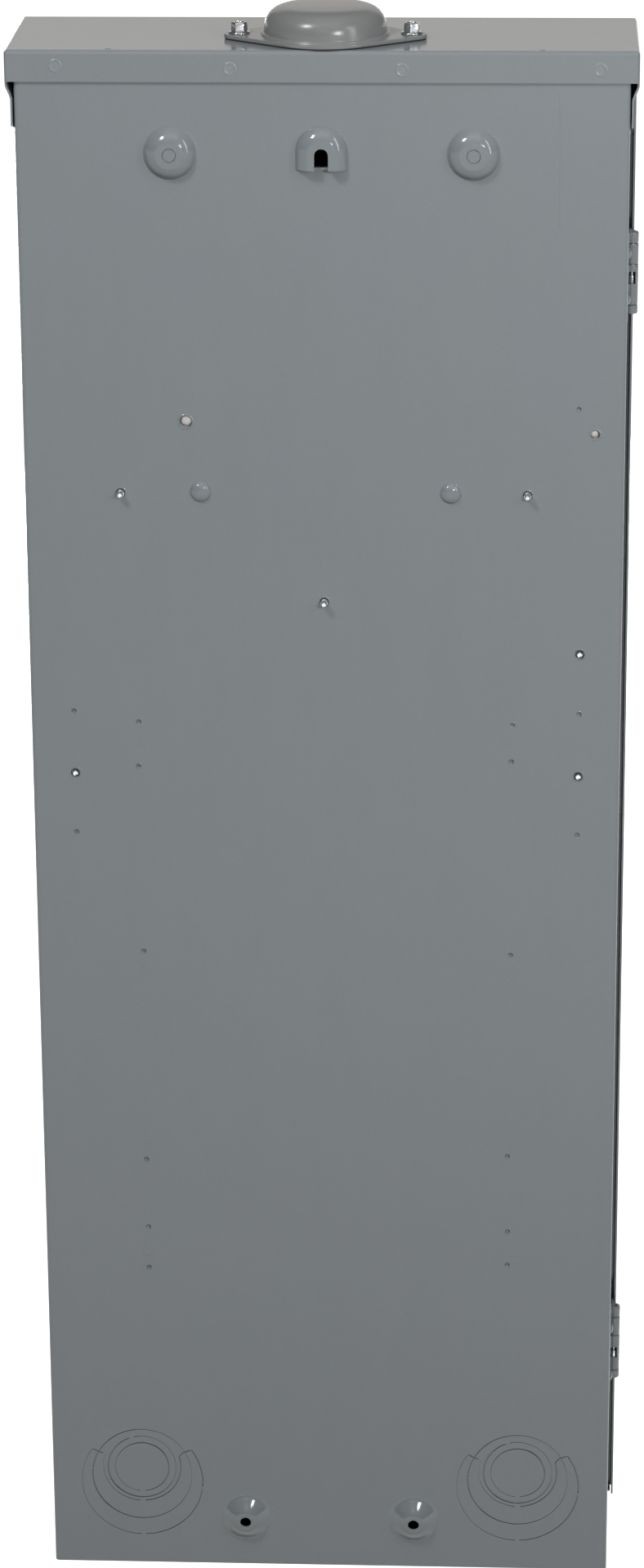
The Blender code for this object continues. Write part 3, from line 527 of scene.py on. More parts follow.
# ------------------------------------------------------------------ top cap
JOG = [(-183.0, 942.0), (-183.0, 968.0)] + smooth_line([(-183.0, 968.6), (-183.0, 971.6), (-186.0, 978.2), (-186.0, 981.2)], 2) + [(-186.0, 982.0)]
side = JOG + arc(-183.8, 997.8, 2.2, 180, 90, 8) + arc(183.8, 997.8, 2.2, 90, 0, 8) + [(-x, z) for x, z in JOG[::-1]]
bm = bmesh.new()
prism(bm, sheet(side, 1.2), "y", -52.4, 54.2)
cap = finish_mesh("cap_shell", bm, M_CAP)
span_bm = bmesh.new()
span = [(-54.0, 980.0)] + arc(-51.6, 997.6, 2.4, 180, 90, 8) + arc(53.3, 996.8, 3.2, 90, 0, 12) + [(56.5, 981.4)]
prism(span_bm, sheet(span, 1.2), "x", -184.9, 184.9)
trim = bmesh.new()
for s in (-1, 1):
    xs = sorted((s * 181.0, s * 190.0))
    prism(trim, [(56.0, 954.2), (54.4, 954.6), (24.0, 944.4), (-36.0, 944.4), (-36.0, 980.0), (-60.0, 980.0), (-60.0, 930.0), (56.0, 930.0)], "x", xs[0], xs[1])
cyl(trim, "z", HUB, 29.0, 990.0, 1005.0, 64)
for s in (-1, 1):
    cyl(trim, "z", (HUB[0] + s * 51.0, HUB[1]), 2.9, 990.0, 1005.0, 24)
for x in (125.0, -129.0):
    prism(trim, [(x - 1.9, 50.2), (x + 1.9, 50.2), (x + 1.5, 52.3), (x - 1.5, 52.3)], "z", 997.4, 1003.0)
cap = applied(cap, [("UNION", span_bm), ("DIFFERENCE", trim)])
bevel(cap, 0.22, 2, 40.0)
weighted(cap)
place(cap, "enclosure", "gray_paint", "top_cap")
bm = bmesh.new()
for x, z in ((155.8, 990.9), (53.3, 989.3), (-47.5, 988.9), (-163.1, 989.4)):
    weld(bm, x, z, 3.7, 0.34, 56.5)
clinch = finish_mesh("cap_weld_marks", bm, M_MARK, 40.0)
place(clinch, "enclosure", "gray_paint")

# ------------------------------------------------------------------ hub closing cap
def ears(Rb, r, d, nb, ns):
    a = math.degrees(math.asin((Rb - r) / d))
    pts = arc(d, 0, r, -90 + a, 90 - a, ns) + arc(0, 0, Rb, 90 - a, 90 + a, nb)[0:]
    pts += arc(-d, 0, r, 90 + a, 270 - a, ns) + arc(0, 0, Rb, 270 - a, 270 + a, nb)
    return [(HUB[0] + x, HUB[1] + y) for x, y in pts]
bm = bmesh.new()
soft_prism(bm, ears(39.5, 9.0, 51.0, 40, 24), "z", 1000.75, 1003.1, 0.6, 4)
hub = finish_mesh("hub_cap", bm, M_HUB_PAINTED_SHADE)
dome_line = smooth_line([(38.9, 1003.0), (38.3, 1003.1), (37.9, 1004.3), (37.1, 1004.8), (36.4, 1004.4), (36.35, 1006.2), (36.2, 1008.6), (35.6, 1011.4), (34.3, 1014.2), (32.1, 1016.8), (29.2, 1018.7), (25.4, 1019.85), (20.0, 1020.4), (10.0, 1020.72)], 3) + [(0.0, 1020.78)]
add = bmesh.new()
lathe(add, "z", HUB, [(0, 1002.0), (38.9, 1002.0), *dome_line], 112)
inner = bmesh.new()
lathe(inner, "z", HUB, [(0, 1000.0), (34.9, 1000.0), (34.9, 1008.4), (34.2, 1011.2), (32.9, 1013.6), (30.9, 1015.8), (28.2, 1017.4), (24.6, 1018.5), (19.8, 1019.1), (0, 1019.5)], 64)
for s in (-1, 1):
    cyl(inner, "z", (HUB[0] + s * 51.0, HUB[1]), 2.9, 999.0, 1006.0, 24)
hub = applied(hub, [("UNION", add), ("DIFFERENCE", inner)])
weighted(hub)
place(hub, "enclosure", "gray_paint", "hub_closing_cap")

def hub_screw(name, node, x, turn):
    bm = bmesh.new()
    c = (x, HUB[1])
    lathe(bm, "z", c, [(0, 1003.15), *smooth_line([(6.1, 1003.15), (6.4, 1003.3), (6.4, 1003.9), (5.6, 1004.5), (4.6, 1004.75), (3.5, 1004.75)], 2), (0, 1004.75)], 48)
    o = finish_mesh(name, bm, M_ZINC)
    # hexagon with rounded corners, a chamfered crown and a dished top
    hexa = []
    for i in range(6):
        a = math.radians(turn + 60 * i)
        hexa += arc(c[0] + 4.4 * math.cos(a), c[1] + 4.4 * math.sin(a), 0.45, math.degrees(a) - 30, math.degrees(a) + 30, 3)
    def ring(k, z):
        return [(c[0] + (p[0] - c[0]) * k, c[1] + (p[1] - c[1]) * k, z) for p in hexa]
    crown = bmesh.new()
    loops(crown, [ring(1.0, 1004.2), ring(1.0, 1008.5), ring(0.955, 1009.3), ring(0.86, 1009.8)])
    dish = bmesh.new()
    lathe(dish, "z", c, [(0, 1008.5), (1.5, 1008.5), (2.3, 1008.75), (2.9, 1009.4), (3.2, 1011.0), (0, 1011.0)], 32)
    shank = bmesh.new()
    lathe(shank, "z", c, [(0, 988.0), (1.5, 988.0), *thread(2.35, 2.0, 989.0, 1001.0, 1.27), (2.0, 1001.2), (2.35, 1001.4), (2.35, 1003.6), (0, 1003.6)], 24)
    o = applied(o, [("UNION", crown), ("DIFFERENCE", dish), ("UNION", shank)], 32.0)
    return place(o, "enclosure", "zinc_plate", node)

def thread(r_out, r_in, a0, a1, pitch):
    pts, a = [], a0
    while a + pitch < a1:
        pts += [(r_in, a), (r_in, a + pitch * 0.25), (r_out, a + pitch * 0.5), (r_out, a + pitch * 0.6)]
        a += pitch
    return pts + [(r_in, a)]
hub_screw("hub_screw_l", "hub_screw_left", HUB[0] + 51.0, 8.0)
hub_screw("hub_screw_r", "hub_screw_right", HUB[0] - 51.0, 22.0)

# ------------------------------------------------------------------ screws whose points come through the back
def point_screw(name, node, x, z, y_tip, y_head, r=2.3, head=5.0, slot="zinc_plate"):
    bm = bmesh.new()
    c = (x, z)
    lathe(bm, "y", c, [(0, y_head), *smooth_line([(2.2, y_head), (head * 0.8, y_head + 0.5), (head, y_head + 2.2), (head, y_head + 3.6)], 2), (r, y_head + 3.7),
                       *thread(r, r - 0.45, y_head + 5.0, y_tip - 2.4, 1.27), (r - 0.4, y_tip - 1.6), (r - 0.75, y_tip - 0.4), (r - 1.1, y_tip), (0, y_tip)], 14)
    o = finish_mesh(name, bm, M_TIP, 28.0)
    notch = bmesh.new()
    prism(notch, [(x - 2.0, z - 3.4), (x - 0.9, z - 3.6), (x + 0.1, z - 0.5), (x - 0.8, z - 0.2)], "y", y_tip - 3.6, y_tip + 1.0)
    cross = bmesh.new()
    box(cross, x - 2.6, x + 2.6, y_head - 0.5, y_head + 1.4, z - 0.55, z + 0.55)
    o = applied(o, [("DIFFERENCE", notch), ("DIFFERENCE", cross)], 28.0)
    return place(o, "enclosure", slot, node)
point_screw("pan_screw_r", "interior_screw_right", 122.8, 730.8, 60.9, 35.9)
point_screw("pan_screw_l", "interior_screw_left", -122.9, 730.9, 60.9, 35.9)
point_screw("pan_screw_c", "interior_screw_centre", 0.0, 662.6, 60.9, 35.9)
point_screw("ground_screw_a", "ground_screw_left_1", -155.6, 630.6, 56.6, 38.4, 2.45, 4.6)
point_screw("ground_screw_b", "ground_screw_left_2", -155.6, 551.6, 56.6, 38.4, 2.45, 4.6)
point_screw("ground_screw_c", "ground_screw_right_1", 154.4, 551.0, 56.6, 38.4, 2.45, 4.6)

# ------------------------------------------------------------------ hinges
HX, HY, HR = -185.2, -34.0, 3.8
def tube_profile(z0, z1, r, bore, c=0.35):
    return [(bore, z0), (r - c, z0), (r - c * 0.3, z0 + c * 0.3), (r, z0 + c), (r, z1 - c), (r - c * 0.3, z1 - c * 0.3), (r - c, z1), (bore, z1)]
def tube(bm, z0, z1, r=HR, bore=2.2, c=0.35, n=48):
    prof = tube_profile(z0, z1, r, bore, c)
    vs = [[bm.verts.new(at("z", a, p)) for p in circle(HX, HY, rr, n)] for rr, a in prof]
    for u, v in zip(vs, vs[1:] + vs[:1]):
        for i in range(n):
            j = (i + 1) % n
            bm.faces.new((u[i], u[j], v[j], v[i]))
for tag, zs, win in (("upper", (873.4, 866.0, 853.1, 827.8, 821.8), (848.7, 841.0)), ("lower", (148.6, 140.6, 127.4, 102.2, 95.9), (119.0, 111.2))):
    bm = bmesh.new()
    tube(bm, zs[1] + 0.2, zs[0] - 0.2, c=0.8)
    leaf = finish_mesh("hinge_%s_fixed" % tag, bm, M_PAINT)
    k3 = bmesh.new()
    tube(k3, zs[3] + 0.2, zs[2] - 0.2)
    strap = bmesh.new()
    pts = [(-182.6, -30.6), (-182.6, -10.0), (-181.3, -10.0), (-181.3, -30.6)]
    soft_prism(strap, [(-182.6, -30.0), (-181.3, -30.0), (-181.3, -10.0), (-182.6, -10.0)], "z", zs[4] + 0.2, zs[0] - 0.2, 0.3, 2)
    tongue1 = bmesh.new()
    box(tongue1, -183.6, -181.55, -36.0, -29.0, zs[1] + 0.5, zs[0] - 0.9)
    tongue2 = bmesh.new()
    box(tongue2, -183.6, -181.55, -36.0, -29.0, zs[3] + 0.5, zs[2] - 0.5)
    bore = bmesh.new()
    cyl(bore, "z", (HX, HY), 2.2, zs[4] - 3, zs[0] + 3, 32)
    window = bmesh.new()
    box(window, -187.4, -182.9, -33.0, -28.0, win[1], win[0])
    rivets = bmesh.new()
    for k, z in enumerate((zs[4] + (11.8 if tag == "upper" else 7.2), zs[0] - 11.0)):
        lathe(rivets, "x", (-21.0, z), [(0, -181.5), (3.3, -181.5), *[(r, -182.4 - h) for r, h in smooth_line([(3.3, 0.0), (3.1, 0.9), (2.1, 1.7), (0.9, 1.95)], 2)], (0, -184.4)], 32)
    leaf = applied(leaf, [("UNION", k3), ("UNION", strap), ("UNION", tongue1), ("UNION", tongue2), ("DIFFERENCE", bore), ("DIFFERENCE", window), ("UNION", rivets)], 32.0)
    place(leaf, "enclosure", "gray_paint", "hinge_%s_body_leaf" % tag)

    bm = bmesh.new()
    tube(bm, zs[2] + 0.2, zs[1] - 0.2)
    leaf = finish_mesh("hinge_%s_moving" % tag, bm, M_PAINT)
    k4 = bmesh.new()
    tube(k4, zs[4] + 0.2, zs[3] - 0.2, c=0.8)
    strap = bmesh.new()
    soft_prism(strap, [(-184.8, -48.0), (-183.6, -48.0), (-183.6, -39.0), (-184.8, -39.0)], "z", zs[4] + 0.2, zs[0] - 0.2, 0.3, 2)
    t1 = bmesh.new()
    box(t1, -184.75, -183.65, -40.0, -35.0, zs[2] + 0.5, zs[1] - 0.5)
    t2 = bmesh.new()
    box(t2, -184.75, -183.65, -40.0, -35.0, zs[4] + 0.5, zs[3] - 0.5)
    bore = bmesh.new()
    cyl(bore, "z", (HX, HY), 2.2, zs[4] - 3, zs[0] + 3, 32)
    leaf = applied(leaf, [("UNION", k4), ("UNION", strap), ("UNION", t1), ("UNION", t2), ("DIFFERENCE", bore)], 32.0)
    place(leaf, "door_body", "gray_paint", "hinge_%s_door_leaf" % tag)

    bm = bmesh.new()
    lathe(bm, "z", (HX, HY), [(0, zs[4] + 1.0), *smooth_line([(1.2, zs[4] + 1.0), (1.8, zs[4] + 1.5), (1.8, zs[4] + 3.0)], 2), (1.8, win[0] - 3.6), (1.5, win[0] - 2.9), (1.0, win[0] - 2.7), (1.0, win[0] + 1.5), (1.8, win[0] + 2.0), (1.8, zs[0] - 2.4), (1.3, zs[0] - 1.5), (0, zs[0] - 1.5)], 32)
    pin = finish_mesh("hinge_%s_rod" % tag, bm, M_ZINC, 40.0)
    place(pin, "enclosure", "zinc_plate", "hinge_%s_pin" % tag)

# ------------------------------------------------------------------ door
bm = bmesh.new()
DL, DR = -186.3, 184.5
outline = [(DL, -40.0)] + arc(DL + 1.8, -52.2, 1.8, 180, 270, 6) + arc(DR - 1.8, -52.2, 1.8, 270, 360, 6) + [(DR, -40.0)]
inner = offset(outline, -1.2, closed=False)
prism(bm, outline + inner[::-1], "z", 4.5, 976.5)
door = finish_mesh("door_skin", bm, M_PAINT)
def end_flange(z_out, s):
    """Top or bottom return of the door: panel edge bends back."""
    b = bmesh.new()
    prof = [(-54.0, z_out - s * 3.0)] + [(-52.2 + 1.8 * math.cos(math.radians(a)), z_out - s * 1.8 + s * 1.8 * math.sin(math.radians(a))) for a in range(180, 89, -15)] \
        + [(-46.5, z_out), (-46.5, z_out - s * 1.2), (-52.2, z_out - s * 1.2), (-52.8, z_out - s * 1.8), (-52.8, z_out - s * 3.0)]
    prism(b, prof, "x", -184.6, 182.8)
    return b
slotcut = bmesh.new()
prism(slotcut, [(135.5, 489.0), (150.5, 489.0), (152.0, 490.5), (152.0, 509.5), (150.5, 511.0), (135.5, 511.0), (134.0, 509.5), (134.0, 490.5)], "y", -60.0, -50.0)
door = applied(door, [("UNION", end_flange(978.0, 1)), ("UNION", end_flange(3.0, -1)), ("DIFFERENCE", slotcut)])
bevel(door, 0.25, 2, 50.0)
weighted(door)
place(door, "door_body", "gray_paint", "door")

# ------------------------------------------------------------------ latch
bm = bmesh.new()
soft_prism(bm, [(124.0, -52.3), (161.2, -52.3), (162.0, -51.5), (162.0, -50.4), (162.6, -49.8), (170.8, -49.8), (171.4, -49.3), (171.4, -48.5), (124.0, -48.5)], "z", 488.0, 512.0, 0.5, 2)
slide = finish_mesh("latch_bolt", bm, M_HANDLE)
thumb = bmesh.new()
soft_prism(thumb, [(136.0, -51.0), (136.0, -56.2), *arc(136.8, -56.2, 0.8, 180, 270, 4)[1:], (143.2, -57.0), *arc(143.2, -56.2, 0.8, 270, 360, 4)[1:], (144.0, -51.0)], "z", 491.0, 509.0, 0.8, 3)
ribs = bmesh.new()
for k in range(4):
    x = 137.3 + k * 1.8
    prism(ribs, [(x - 0.35, -58.0), (x + 0.35, -58.0), (x + 0.15, -56.3), (x - 0.15, -56.3)], "z", 493.0, 507.0)
slide = applied(slide, [("UNION", thumb), ("DIFFERENCE", ribs)])
place(slide, "latch_slide_body", "handle_black", "latch_slide")

# ------------------------------------------------------------------ dead front with its twist-out fillers
bm = bmesh.new()
soft_prism(bm, [(-168.0, 18.0), (168.0, 18.0), (168.0, 960.0), (-168.0, 960.0)][::-1], "y", -45.5, -44.3, 0.25, 2)
dead = finish_mesh("dead_front_plate", bm, M_PAINT)
field = bmesh.new()
def rounded(x0, x1, z0, z1, r, n=6):
    return arc(x1 - r, z1 - r, r, 90, 0, n) + arc(x1 - r, z0 + r, r, 0, -90, n) + arc(x0 + r, z0 + r, r, 270, 180, n) + arc(x0 + r, z1 - r, r, 180, 90, n)
def emboss(bm, x0, x1, z0, z1, h, r=8.0):
    out = []
    for g, y in ((0.0, -44.9), (0.0, -45.5), (0.5, -45.6), (1.4, -45.5 - h + 0.1), (2.0, -45.5 - h)):
        out.append([at("y", y, p) for p in rounded(x0 + g, x1 - g, z0 + g, z1 - g, r - g)])
    loops(bm, out)
emboss(field, -78.0, 78.0, 236.0, 708.0, 0.9)
emboss(field, -52.0, 52.0, 709.5, 806.0, 0.9)
PITCH, START = 25.4, 502.4
openings = bmesh.new()
for s in (-1, 1):
    prism(openings, rounded(min(s * 24.0, s * 64.0), max(s * 24.0, s * 64.0), START - 2.0, START + 4 * PITCH + 1.4, 1.0, 3), "y", -50.0, -40.0)
prism(openings, rounded(-34.0, 34.0, 712.0, 790.0, 1.5, 3), "y", -50.0, -40.0)
for x in (-164.6, 164.6):
    for z in (200.0, 930.0):
        cyl(openings, "y", (x, z), 2.5, -50.0, -40.0, 24)
fill = bmesh.new()
def scored(x0, x1, z0, z1):
    w, m, tie = 0.35, (x0 + x1) / 2, 1.6
    for a, b, c, d in ((x0, m - tie, z1 - w, z1), (m + tie, x1, z1 - w, z1), (x0, m - tie, z0, z0 + w), (m + tie, x1, z0, z0 + w),
                       (x0, x0 + w, z0 + w + 0.02, z1 - w - 0.02), (x1 - w, x1, z0 + w + 0.02, z1 - w - 0.02)):
        box(fill, a, b, -48.0, -46.0, c, d)
for s in (-1, 1):
    x0, x1 = sorted((s * 24.5, s * 63.5))
    for k in list(range(-10, 0)) + list(range(4, 8)):
        z = START + k * PITCH + (1.4 if k > 3 else -2.0)
        if z > 238.0 and z + PITCH < 707.0:
            scored(x0, x1, z + 0.7, z + PITCH - 0.7)
dead = applied(dead, [("UNION", field), ("DIFFERENCE", openings), ("DIFFERENCE", fill)])
weighted(dead)
place(dead, "enclosure", "gray_paint", "deadfront")

def cover_screw(name, node, x, z, turn):
    bm = bmesh.new()
    c = (x, z)
    line_ = smooth_line([(0.0, -49.0), (2.4, -49.0), (3.7, -48.3), (4.35, -47.0), (4.4, -45.9)], 2)
    lathe(bm, "y", c, [(r, y) for r, y in line_] + [(4.2, -45.75), (2.0, -45.75), (2.0, -37.5), (1.1, -36.0), (0, -36.0)], 40)
    o = finish_mesh(name, bm, M_ZINC)
    cuts_ = bmesh.new()
    for a in (turn, turn + 90):
        ca, sa = math.cos(math.radians(a)), math.sin(math.radians(a))
        pts = [(x + u * ca - v * sa, z + u * sa + v * ca) for u, v in ((-2.5, -0.45), (2.5, -0.45), (2.5, 0.45), (-2.5, 0.45))]
        b = bmesh.new()
        prism(b, pts, "y", -50.0, -47.6)
        merge_into(cuts_, b)
    o = applied(o, [("DIFFERENCE", cuts_, True)])
    return place(o, "enclosure", "zinc_plate", node)
for i, (x, tx) in enumerate(((-164.6, "left"), (164.6, "right"))):
    for j, (z, tz) in enumerate(((200.0, "lower"), (930.0, "upper"))):
        cover_screw("cover_screw_%s_%s" % (tz, tx), "deadfront_screw_%s_%s" % (tz, tx), x, z, 17.0 + 31.0 * i + 47.0 * j)

# ------------------------------------------------------------------ breakers
def turned(c, pts, a):
    ca, sa = math.cos(math.radians(a)), math.sin(math.radians(a))
    return [(c[0] + u * ca - v * sa, c[1] + u * sa + v * ca) for u, v in pts]

def branch(tag, side, z0, poles):
    z1 = z0 + poles * PITCH - 0.6
    mid = (z0 + z1) / 2
    prof = [(8.0, 18.0), (8.0, -33.4), (8.6, -34.05), (25.4, -35.9), (26.0, -36.6), (26.0, -46.0), (26.8, -46.8), (61.2, -46.8), (62.0, -46.0), (62.0, -36.6),
            (62.6, -35.8), (79.2, -30.3), (80.0, -29.4), (80.0, 18.0)]
    bm = new_soft(prof, side, z0, z1, 0.5)
    o = finish_mesh(tag + "_moulding", bm, M_CASE)
    pocket = bmesh.new()
    pts = [(34.5, -60.0), (53.5, -60.0), (53.5, -28.0), (34.5, -28.0)]
    prism(pocket, [(side * u, v) for u, v in pts][::side], "z", mid - 5.6 * poles, mid + 5.6 * poles)
    seam = bmesh.new()
    for k in range(1, poles):
        zc = z0 + k * PITCH - 0.3
        for q in ([(7.0, -48.0), (63.0, -48.0), (63.0, -46.2), (25.5, -46.2), (25.5, -40.0), (7.0, -40.0)],):
            prism(seam, [(side * u, v) for u, v in q][::side], "z", zc - 0.25, zc + 0.25)
    # mould parting line, rating recess and terminal access notch
    for k in range(poles):
        zc = z0 + (k + 0.5) * PITCH - 0.3
        prism(seam, [(side * u, v) for u, v in ((27.6, -48.0), (32.2, -48.0), (32.2, -46.5), (27.6, -46.5))][::side], "z", zc - 8.5, zc + 8.5)
        cyl(seam, "y", (side * 57.8, zc), 2.1, -48.0, -46.2, 24)
    cut_ = [("DIFFERENCE", pocket), ("DIFFERENCE", seam)]
    o = applied(o, cut_)
    bevel(o, 0.18, 1, 50.0)
    weighted(o)
    place(o, "enclosure", "breaker_case", tag + "_case")
    lever = [(-2.4, -15.6), (2.4, -15.6), (2.6, -15.3), (2.9, -9.0)] + arc(0, 0, 4.6, -52, 232, 20) + [(-2.9, -9.0), (-2.6, -15.3)]
    bm = bmesh.new()
    soft_prism(bm, turned((side * 44.0, -35.0), lever, side * -20.0), "z", mid - 5.0 * poles, mid + 5.0 * poles, 0.6, 3)
    o = finish_mesh(tag + "_lever", bm, M_HANDLE)
    gr = bmesh.new()
    for sx in (-1, 1):
        for k in range(3):
            v = -14.2 + k * 1.5
            q = [(sx * 2.25, v - 0.3), (sx * 4.0, v - 0.3), (sx * 4.0, v + 0.3), (sx * 2.25, v + 0.3)]
            prism(gr, turned((side * 44.0, -35.0), q[::sx], side * -20.0), "z", mid - 4.2 * poles, mid + 4.2 * poles)
    o = applied(o, [("DIFFERENCE", gr)])
    place(o, tag + "_handle_body", "handle_black", tag + "_handle")

def new_soft(prof, side, z0, z1, r):
    bm = bmesh.new()
    pts = [(side * u, v) for u, v in prof]
    if side > 0:
        pts = pts
    if sum(p[0] * q[1] - q[0] * p[1] for p, q in zip(pts, pts[1:] + pts[:1])) < 0:
        pts = pts[::-1]
    soft_prism(bm, pts, "z", z0, z1, r, 2)
    return bm

for side, tag in ((-1, "left"), (1, "right")):
    z = START
    branch("branch_%s_1" % tag, side, z, 2)
    z += 2 * PITCH
    for i in range(2):
        branch("branch_%s_%d" % (tag, i + 2), side, z, 1)
        z += PITCH

bm = bmesh.new()
soft_prism(bm, [(-52.0, -37.0), (52.0, -37.0), (52.0, 39.7), (-52.0, 39.7)], "z", 690.0, 812.0, 1.2, 3)
main = finish_mesh("main_breaker_moulding", bm, M_CASE)
nose = bmesh.new()
loops(nose, [[at("y", y, p) for p in rounded(-32.0 + g, 32.0 - g, 714.0 + g, 788.0 - g, 2.0)] for y, g in ((-30.0, 0.0), (-45.9, 0.0), (-46.5, 0.3), (-46.8, 0.9))])
pocket = bmesh.new()
box(pocket, -13.0, 13.0, -60.0, -19.0, 732.0, 770.0)
det = bmesh.new()
for z in (718.0, 720.5, 723.0, 779.0, 781.5, 784.0):
    box(det, -20.0, 20.0, -48.0, -46.3, z - 0.4, z + 0.4)
for x in (-46.0, 46.0):
    for z in (697.0, 805.0):
        cyl(det, "y", (x, z), 3.2, -40.0, -33.0, 28)
for x in (-17.0, 17.0):
    box(det, x - 0.25, x + 0.25, -40.0, -36.5, 790.0, 812.5)
main = applied(main, [("UNION", nose), ("DIFFERENCE", pocket), ("DIFFERENCE", det)])
bevel(main, 0.3, 2, 50.0)
weighted(main)
place(main, "enclosure", "breaker_case", "main_breaker_case")

c20, s20 = math.cos(math.radians(20)), math.sin(math.radians(20))
def tilt(prof):
    return [(-32.0 + (u * s20 + v * c20), 751.0 - (u * c20 - v * s20)) for u, v in prof]
lever = [(-2.8, -18.6), (2.8, -18.6), (3.0, -18.2), (3.3, -10.0)] + arc(0, 0, 5.5, -52, 232, 20) + [(-3.3, -10.0), (-3.0, -18.2)]
def ccw(pts):
    return pts if sum(p[0] * q[1] - q[0] * p[1] for p, q in zip(pts, pts[1:] + pts[:1])) > 0 else pts[::-1]
bm = bmesh.new()
soft_prism(bm, ccw(tilt(lever)), "x", -11.5, 11.5, 0.9, 3)
mh = finish_mesh("main_breaker_lever", bm, M_HANDLE)
gr = bmesh.new()
for sx in (-1, 1):
    for k in range(4):
        v = -17.2 + k * 1.7
        prism(gr, ccw(tilt([(sx * 2.6, v - 0.35), (sx * 4.5, v - 0.35), (sx * 4.5, v + 0.35), (sx * 2.6, v + 0.35)])), "x", -9.5, 9.5)
mh = applied(mh, [("DIFFERENCE", gr)])
place(mh, "main_handle_body", "handle_black", "main_breaker_handle")

# ------------------------------------------------------------------ neutral and ground bars with their clamp screws
def terminal_bar(name, node, x0, x1, y0, y1, z0, z1, cx, zs, r, skip=()):
    bm = bmesh.new()
    soft_prism(bm, [(x0, y0), (x1, y0), (x1, y1), (x0, y1)], "z", z0, z1, 0.5, 2)
    o = finish_mesh(name, bm, M_ALUM)
    h, sc = bmesh.new(), bmesh.new()
    for z in zs:
        cyl(h, "y", (cx, z), r, y0 - 4.0, y0 + 5.0, 24)
    for z in skip:
        cyl(h, "y", (cx, z), 2.8, y0 - 6.0, y1 + 6.0, 24)
    o = applied(o, [("DIFFERENCE", h)])
    bevel(o, 0.35, 2, 50.0)
    weighted(o)
    place(o, "enclosure", "aluminium", node)
    bm = bmesh.new()
    for i, z in enumerate(zs):
        lathe(bm, "y", (cx, z), [(0, y0 + 4.9), (r - 0.3, y0 + 4.9), (r - 0.3, y0 + 1.2), (r - 0.7, y0 + 0.8), (0, y0 + 0.8)], 20)
    o = finish_mesh(name + "_clamps", bm, M_ZINC)
    sl = bmesh.new()
    for i, z in enumerate(zs):
        a = 23.0 * i + 11.0
        ca, sa = math.cos(math.radians(a)), math.sin(math.radians(a))
        prism(sl, [(cx + u * ca - v * sa, z + u * sa + v * ca) for u, v in ((-r, -0.4), (r, -0.4), (r, 0.4), (-r, 0.4))], "y", y0 - 1.0, y0 + 1.9)
    o = applied(o, [("DIFFERENCE", sl)])
    place(o, "enclosure", "zinc_plate")
for s, tag in ((-1, "left"), (1, "right")):
    x0, x1 = sorted((s * 98.0, s * 110.0))
    terminal_bar("neutral_%s" % tag, "neutral_bar_" + tag, x0, x1, 22.0, 33.0, 248.0, 610.0, s * 104.0, [270.0 + i * 28.0 for i in range(12)], 2.6)
for tag, x, z0, z1, pts in (("left", -155.6, 530.0, 650.0, (630.6, 551.6)), ("right", 154.4, 520.0, 582.0, (551.0,))):
    zs = [z0 + 9.0 + i * 22.0 for i in range(int((z1 - z0) / 22)) if all(abs(z0 + 9.0 + i * 22.0 - q) > 6.5 for q in pts)]
    terminal_bar("ground_%s" % tag, "ground_bar_" + tag, x - 6.0, x + 6.0, 42.3, 53.3, z0, z1, x, zs, 2.2, pts)

# ------------------------------------------------------------------ remaining frame nodes keep their shape and get edges and finishes
def dress(names, mat, width=0.35, segs=2):
    for n in names:
        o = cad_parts[n]
        if not o.material_slots:
            o.data.materials.append(mat)
        for sl in o.material_slots:
            sl.link = "DATA"
            sl.material = mat
        w = o.modifiers.new("weld", "WELD")
        w.merge_threshold = 0.00002
        if width:
            bevel(o, width, segs, 40.0)
        o.data.polygons.foreach_set("use_smooth", [True] * len(o.data.polygons))
        weighted(o)
dress(["bottom_endwall"], M_PAINT, 0.4)
dress(["interior_pan"], M_GALV, 0.3)
dress(["latch_guide", "latch_keeper"], M_GALV, 0.25)
dress(["insulating_base"], M_BASE, 0.5)
dress(["neutral_insulator_left", "neutral_insulator_right"], M_BASE, 0.5)
dress(["bus_bar_a", "bus_bar_b"], M_TIN, 0.3)
dress(["neutral_cross_strap"], M_ALUM, 0.25)
dress(["line_lug_left", "line_lug_right"], M_ALUM, 0.6)
dress(["line_lug_screw_left", "line_lug_screw_right"], M_ZINC, 0.4)
dress(["bonding_screw"], M_GREEN, 0.4)
dress(["hub_gasket"], M_RUBBER, 0.15)

# ------------------------------------------------------------------ stage
def stage_material():
    m, nt, b, v = nodes_of("pale_floor")
    n = tex_noise(nt, v, 1.5, 2.0, 0.5)
    nt.links.new(mix(nt, (0.90, 0.90, 0.90), (0.92, 0.92, 0.92), remap(nt, n, 0.3, 0.7, 0.0, 1.0)), b.inputs["Base Color"])
    b.inputs["Roughness"].default_value = 0.9
    b.inputs["Specular IOR Level"].default_value = 0.0
    b.inputs["Emission Color"].default_value = (1.0, 1.0, 1.0, 1.0)
    b.inputs["Emission Strength"].default_value = FLOOR_GLOW
    return m

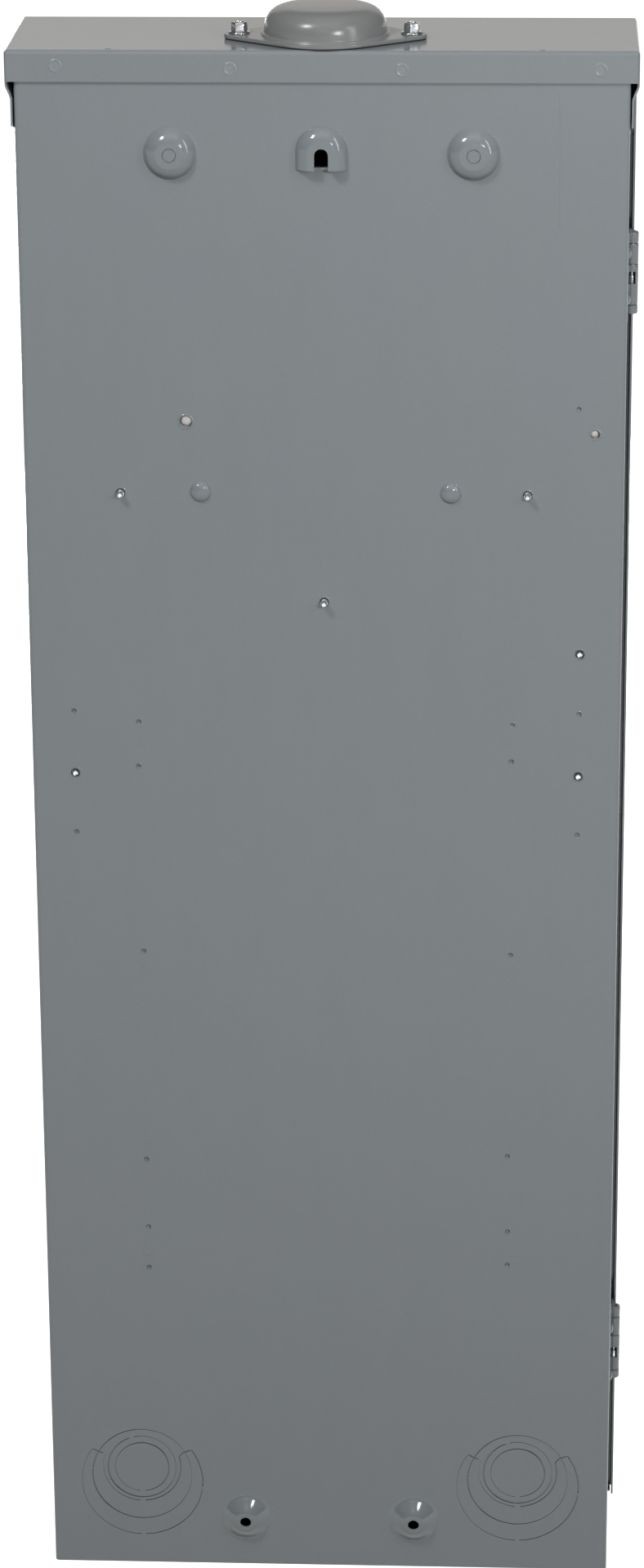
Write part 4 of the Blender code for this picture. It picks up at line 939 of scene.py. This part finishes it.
FLOOR_GLOW = 1.0
bm = bmesh.new()
n = 64
rings = []
for r, z in ((0.0, 0.0), (1.0, 0.0), (4.0, 0.0), (16.0, 0.0), (60.0, 0.0)):
    rings.append([bm.verts.new((0, 0, z))] if r == 0 else [bm.verts.new((r * math.cos(2 * math.pi * i / n), r * math.sin(2 * math.pi * i / n), z)) for i in range(n)])
for u, v in zip(rings, rings[1:]):
    for i in range(n):
        j = (i + 1) % n
        bm.faces.new((u[0], v[i], v[j]) if len(u) == 1 else (u[i], u[j], v[j], v[i]))
bmesh.ops.recalc_face_normals(bm, faces=bm.faces[:])
me = bpy.data.meshes.new("floor")
bm.to_mesh(me)
bm.free()
floor = bpy.data.objects.new("floor", me)
scene.collection.objects.link(floor)
floor.location = (0.0, 0.0, -0.0005)
me.materials.append(stage_material())
floor.visible_diffuse = False

world = bpy.data.worlds.new("studio")
scene.world = world
world.use_nodes = True
bg = world.node_tree.nodes["Background"]
bg.inputs["Color"].default_value = (1.0, 1.0, 1.0, 1.0)
bg.inputs["Strength"].default_value = 0.12

def softbox(name, where, target, sx, sy, watts, colour=(1.0, 1.0, 1.0)):
    li = bpy.data.lights.new(name, "AREA")
    li.shape = "RECTANGLE"
    li.size, li.size_y = sx, sy
    li.energy = watts
    li.color = colour
    o = bpy.data.objects.new(name, li)
    scene.collection.objects.link(o)
    o.location = where
    o.rotation_euler = (Vector(target) - Vector(where)).to_track_quat("-Z", "Y").to_euler()
    return o
softbox("key_left", (0.98, 1.14, 2.37), (0.0, 0.05, 0.85), 0.28, 0.40, 17.0)
softbox("strip_right", (-1.00, 0.72, 1.30), (0.0, 0.05, 0.80), 0.10, 0.95, 3.5)
softbox("upper_back", (0.0, 1.5, 2.9), (0.0, 0.05, 0.7), 2.2, 1.2, 6.0)
softbox("top", (0.0, 0.3, 2.8), (0.0, 0.0, 0.5), 1.6, 1.6, 3.2)
softbox("right_high", (-0.68, 1.42, 1.33), (0.0, 0.05, 0.7), 0.22, 0.26, 8.0)
softbox("behind_camera", (0.15, 2.6, 2.05), (0.0, 0.05, 0.8), 0.9, 0.7, 2.1)
softbox("low_fill", (-0.4, 2.4, 0.9), (0.0, 0.05, 0.6), 0.8, 0.8, 0.7)
softbox("front_fill", (0.5, -2.6, 0.38), (0.0, 0.0, 0.45), 1.6, 0.6, 45.0)
softbox("far_card", (0.0, -4.2, 2.0), (0.0, 0.0, 1.0), 4.0, 2.2, 16.5, (1.0, 0.96, 0.90))
